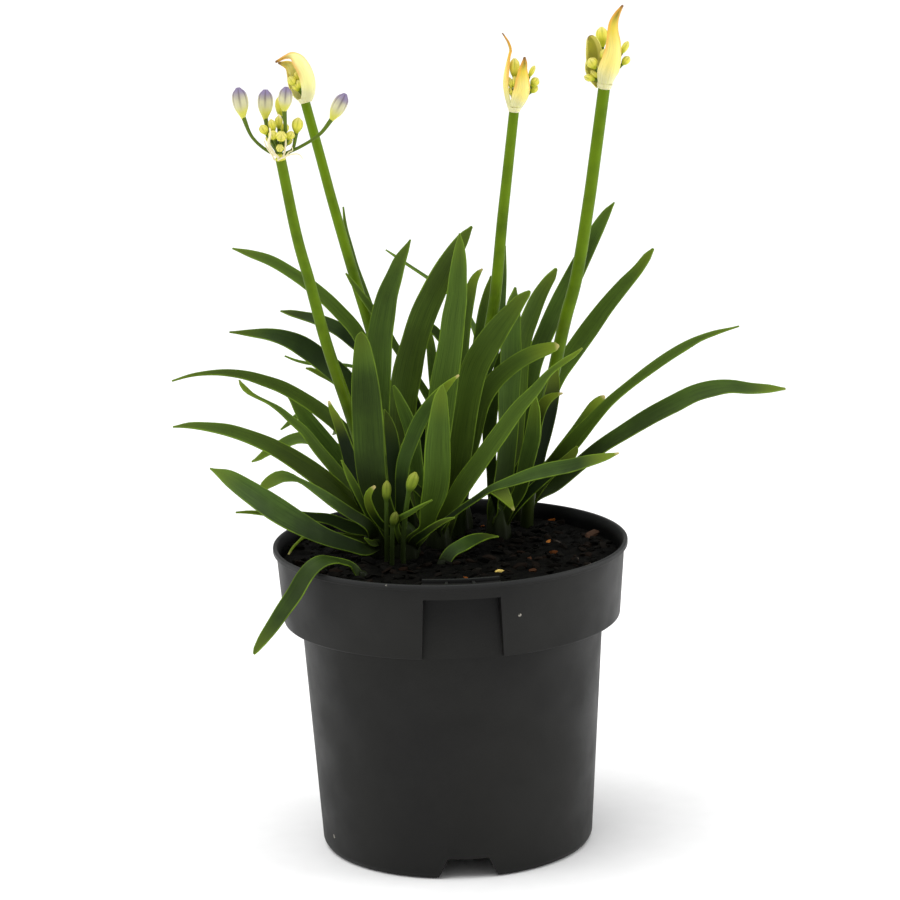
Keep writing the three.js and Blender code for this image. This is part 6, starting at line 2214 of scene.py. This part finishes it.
UMBEL = OpenUmbel(
    STEMS[0],
    long=(
        LongBud(((-96, -9, 407.2), (-104.4, -11, 415.6), (-108.8, -12, 426.2)), (-111, -14, 443.6), 4.2),
        LongBud(((-94.6, -7, 413.1), (-96.9, -6, 424.4)), (-96.2, -5, 441.2), 4.1),
        LongBud(((-85.9, -12, 416.3), (-85.8, -14, 429.3)), (-84.1, -15, 443.5), 3.7),
        LongBud(((-77.9, -9, 409), (-66.5, -10, 416.1), (-60.2, -10, 423.2)), (-51.5, -12, 438.4), 3.9),
        LongBud(((-82.5, -9, 407.4), (-79.9, -10, 416.4)), (-78.1, -11, 425.6), 3, BudTint.GREEN),
        LongBud(((-89, -3, 412), (-88.6, 0, 424.4)), (-88.4, 1, 436.6), 2.8, BudTint.GREEN),
    ),
    small=(
        HeldBud(-97.4, -13, 419.5, 6.6, 2.4), HeldBud(-92.8, -12, 421.5, 8, 2.1),
        HeldBud(-89.4, -7, 422.4, 8, 2.1), HeldBud(-92.4, -15.4, 416.6, 6, 2.5),
        HeldBud(-87.9, -17.5, 416, 6.2, 3), HeldBud(-83.1, -13, 415.8, 6, 2.3),
        HeldBud(-88.9, -17, 409.6, 5.4, 2.1), HeldBud(-94.4, -8, 413.4, 6.4, 2.2),
        HeldBud(-86.6, -2, 418.5, 6.6, 2.4), HeldBud(-84.6, -6, 411.8, 6, 2),
    ),
    threads=(
        Thread((0.8, 1, 0.8, 0.4), (
            (-89.7, -14, 403.8), (-93, -16.5, 407.6), (-95, -18, 412.9), (-93.7, -17.5, 417.8),
            (-94.2, -16, 421))),
        Thread((0.5, 0.5, 0.3), (
            (-92.3, -13, 402.6), (-93.4, -15.5, 405.8), (-96.6, -16, 411), (-97.4, -15.5, 414))),
        Thread((0.6, 0.5, 0.4, 0.25), (
            (-90.3, -13, 402.5), (-86.7, -17, 404.7), (-82.1, -19, 406.4), (-78.2, -19, 406.2),
            (-76.3, -19, 403.8))),
        Thread((0.6, 0.6, 0.3), (
            (-87.5, -13, 403.6), (-86.1, -16, 408.5), (-85.4, -17, 414.2), (-85.9, -16, 418))),
        Thread((0.4, 0.35, 0.25), (
            (-86.4, -12, 403.4), (-83.9, -15, 407.1), (-81.9, -16, 408.1), (-82.3, -16, 410.6))),
        Thread((0.5, 0.8, 0.2), ((-88.4, -7, 423.6), (-88.6, -7, 426), (-90.2, -6, 427.6))),
    ),
)


# ---------------------------------------------------------------- studio


class LightKind(Enum):
    """The kinds of light in the studio."""

    PANEL = "AREA"
    CEILING = "SUN"


@dataclass
class SoftLight:
    """A large soft light: its place in metres, its size, its power and what it faces."""

    name: str
    kind: LightKind
    place: Point
    size: float
    power: float
    aim: Point = (0, 0, 0.2)

    def build(self) -> None:
        """Hangs the light."""
        start_clean()
        bpy.ops.object.light_add(type=self.kind.value, location=self.place)
        light = named(self.name)
        setattr(light.data, "angle" if self.kind is LightKind.CEILING else "size", self.size)
        light.data.energy = self.power
        away = Vector(self.place) - Vector(self.aim)
        light.rotation_euler = away.to_track_quat("Z", "Y").to_euler()


@dataclass
class Studio:
    """Plain pale floor, white surroundings, soft lights and the camera."""

    eye: Point = (0.0013, -2.0, 0.6814)
    pitch: float = 12.69
    roll: float = 1.55
    lens: float = 143.27
    sensor: float = 36.0
    ambient: float = 0.56
    floor_size: float = 24.0
    floor_height: float = -0.0004
    lights: tuple[SoftLight, ...] = (
        SoftLight("ceiling_light", LightKind.CEILING, (-0.5, -0.2, 2.4), math.radians(60), 2.25),
        SoftLight("left_light", LightKind.PANEL, (-2.0, -0.3, 1.0), 1.4, 9.4),
        SoftLight("right_light", LightKind.PANEL, (2.0, -0.2, 0.9), 1.4, 21.5),
    )

    def floor(self) -> None:
        """Lays the floor."""
        start_clean()
        bpy.ops.mesh.primitive_plane_add(size=self.floor_size, location=(0, 0, self.floor_height))
        floor = apply_place(named("studio_floor"))
        material, bench = new_material("floor_paper")
        grain = bench.noise(bench.place(), 60.0)
        colour = bench.blend(grain, tint(250, 250, 250), tint(244, 244, 244))
        bench.surface(colour, None, 0.9, 0.5)
        dress(floor, material)

    def world(self) -> None:
        """Surrounds the scene with white that lights it softly."""
        world = bpy.data.worlds.new("studio_white")
        world.use_nodes = True
        world.node_tree.nodes.clear()
        bench = Bench(world.node_tree)
        seen = bench.add("ShaderNodeLightPath").outputs["Is Camera Ray"]
        strength = bench.ramp(seen, Fade(0.0, 1.0, self.ambient, 1.0))
        back = bench.add("ShaderNodeBackground", {"Color": (1, 1, 1, 1), "Strength": strength})
        bench.add("ShaderNodeOutputWorld", {"Surface": back.outputs[0]})
        bpy.context.scene.world = world

    def camera(self) -> None:
        """Sets up the camera."""
        start_clean()
        bpy.ops.object.camera_add(location=self.eye)
        camera = named("studio_camera")
        pitch = Matrix.Rotation(math.radians(90 - self.pitch), 4, "X")
        roll = Matrix.Rotation(math.radians(-self.roll), 4, "Z")
        camera.matrix_world = Matrix.Translation(self.eye) @ pitch @ roll
        camera.data.sensor_width = self.sensor
        camera.data.lens = self.lens
        bpy.context.scene.camera = camera

    def build(self) -> None:
        """Sets up everything round the plant."""
        self.floor()
        self.world()
        for light in self.lights:
            light.build()
        self.camera()
        bpy.context.scene.view_settings.view_transform = "Standard"
        LOG.info("studio ready with %d lights", len(self.lights))


# ---------------------------------------------------------------- assembly


def build_plant() -> None:
    """Builds and dresses every piece of the plant."""
    leaf_skin = LeafSkin().build()
    stem_skin = StemSkin().build()
    stalk_skin = StemSkin("stalk_skin", tint(66, 88, 24), tint(92, 114, 36)).build()
    dry = StemSkin("dry_thread", tint(214, 200, 150), tint(240, 230, 190), 0.6).build()
    green, lilac, young = (
        BudSkin(name, *(tint(*colour) for colour in colours)).build()
        for name, *colours in (
            ("bud_green", (176, 184, 44), (226, 220, 88), (220, 210, 116), (168, 172, 52)),
            ("bud_lilac", (212, 210, 92), (210, 206, 164), (134, 122, 154), (100, 88, 92)),
            ("young_skin", (84, 112, 34), (146, 168, 50), (150, 158, 62), (112, 132, 38)),
        )
    )
    paper = SheathPaper().build()

    NurseryPot(MouldedPlastic().build()).build()
    PottingMix(PottingSoil().build()).build()
    for shoot in SHOOTS:
        shoot.build(leaf_skin)
    for stem in STEMS:
        stem.build(stem_skin)
    maker = HeadMaker(BudForm().master())
    for young_stem in YOUNG_STEMS:
        young_stem.build(maker, young)
    for sheath in SHEATHS:
        sheath.build(paper)
    for head in CLOSED_HEADS:
        head.build(maker, green, stalk_skin)
    UMBEL.build(maker, {BudTint.LILAC: lilac, BudTint.GREEN: green}, stalk_skin, dry)
    bpy.data.objects.remove(maker.bud)


def main() -> None:
    """Builds the plant and its studio in order."""
    logging.basicConfig(level=logging.INFO, format="%(message)s")
    Studio().build()
    build_plant()
    start_clean()


if __name__ == "__main__":
    main()
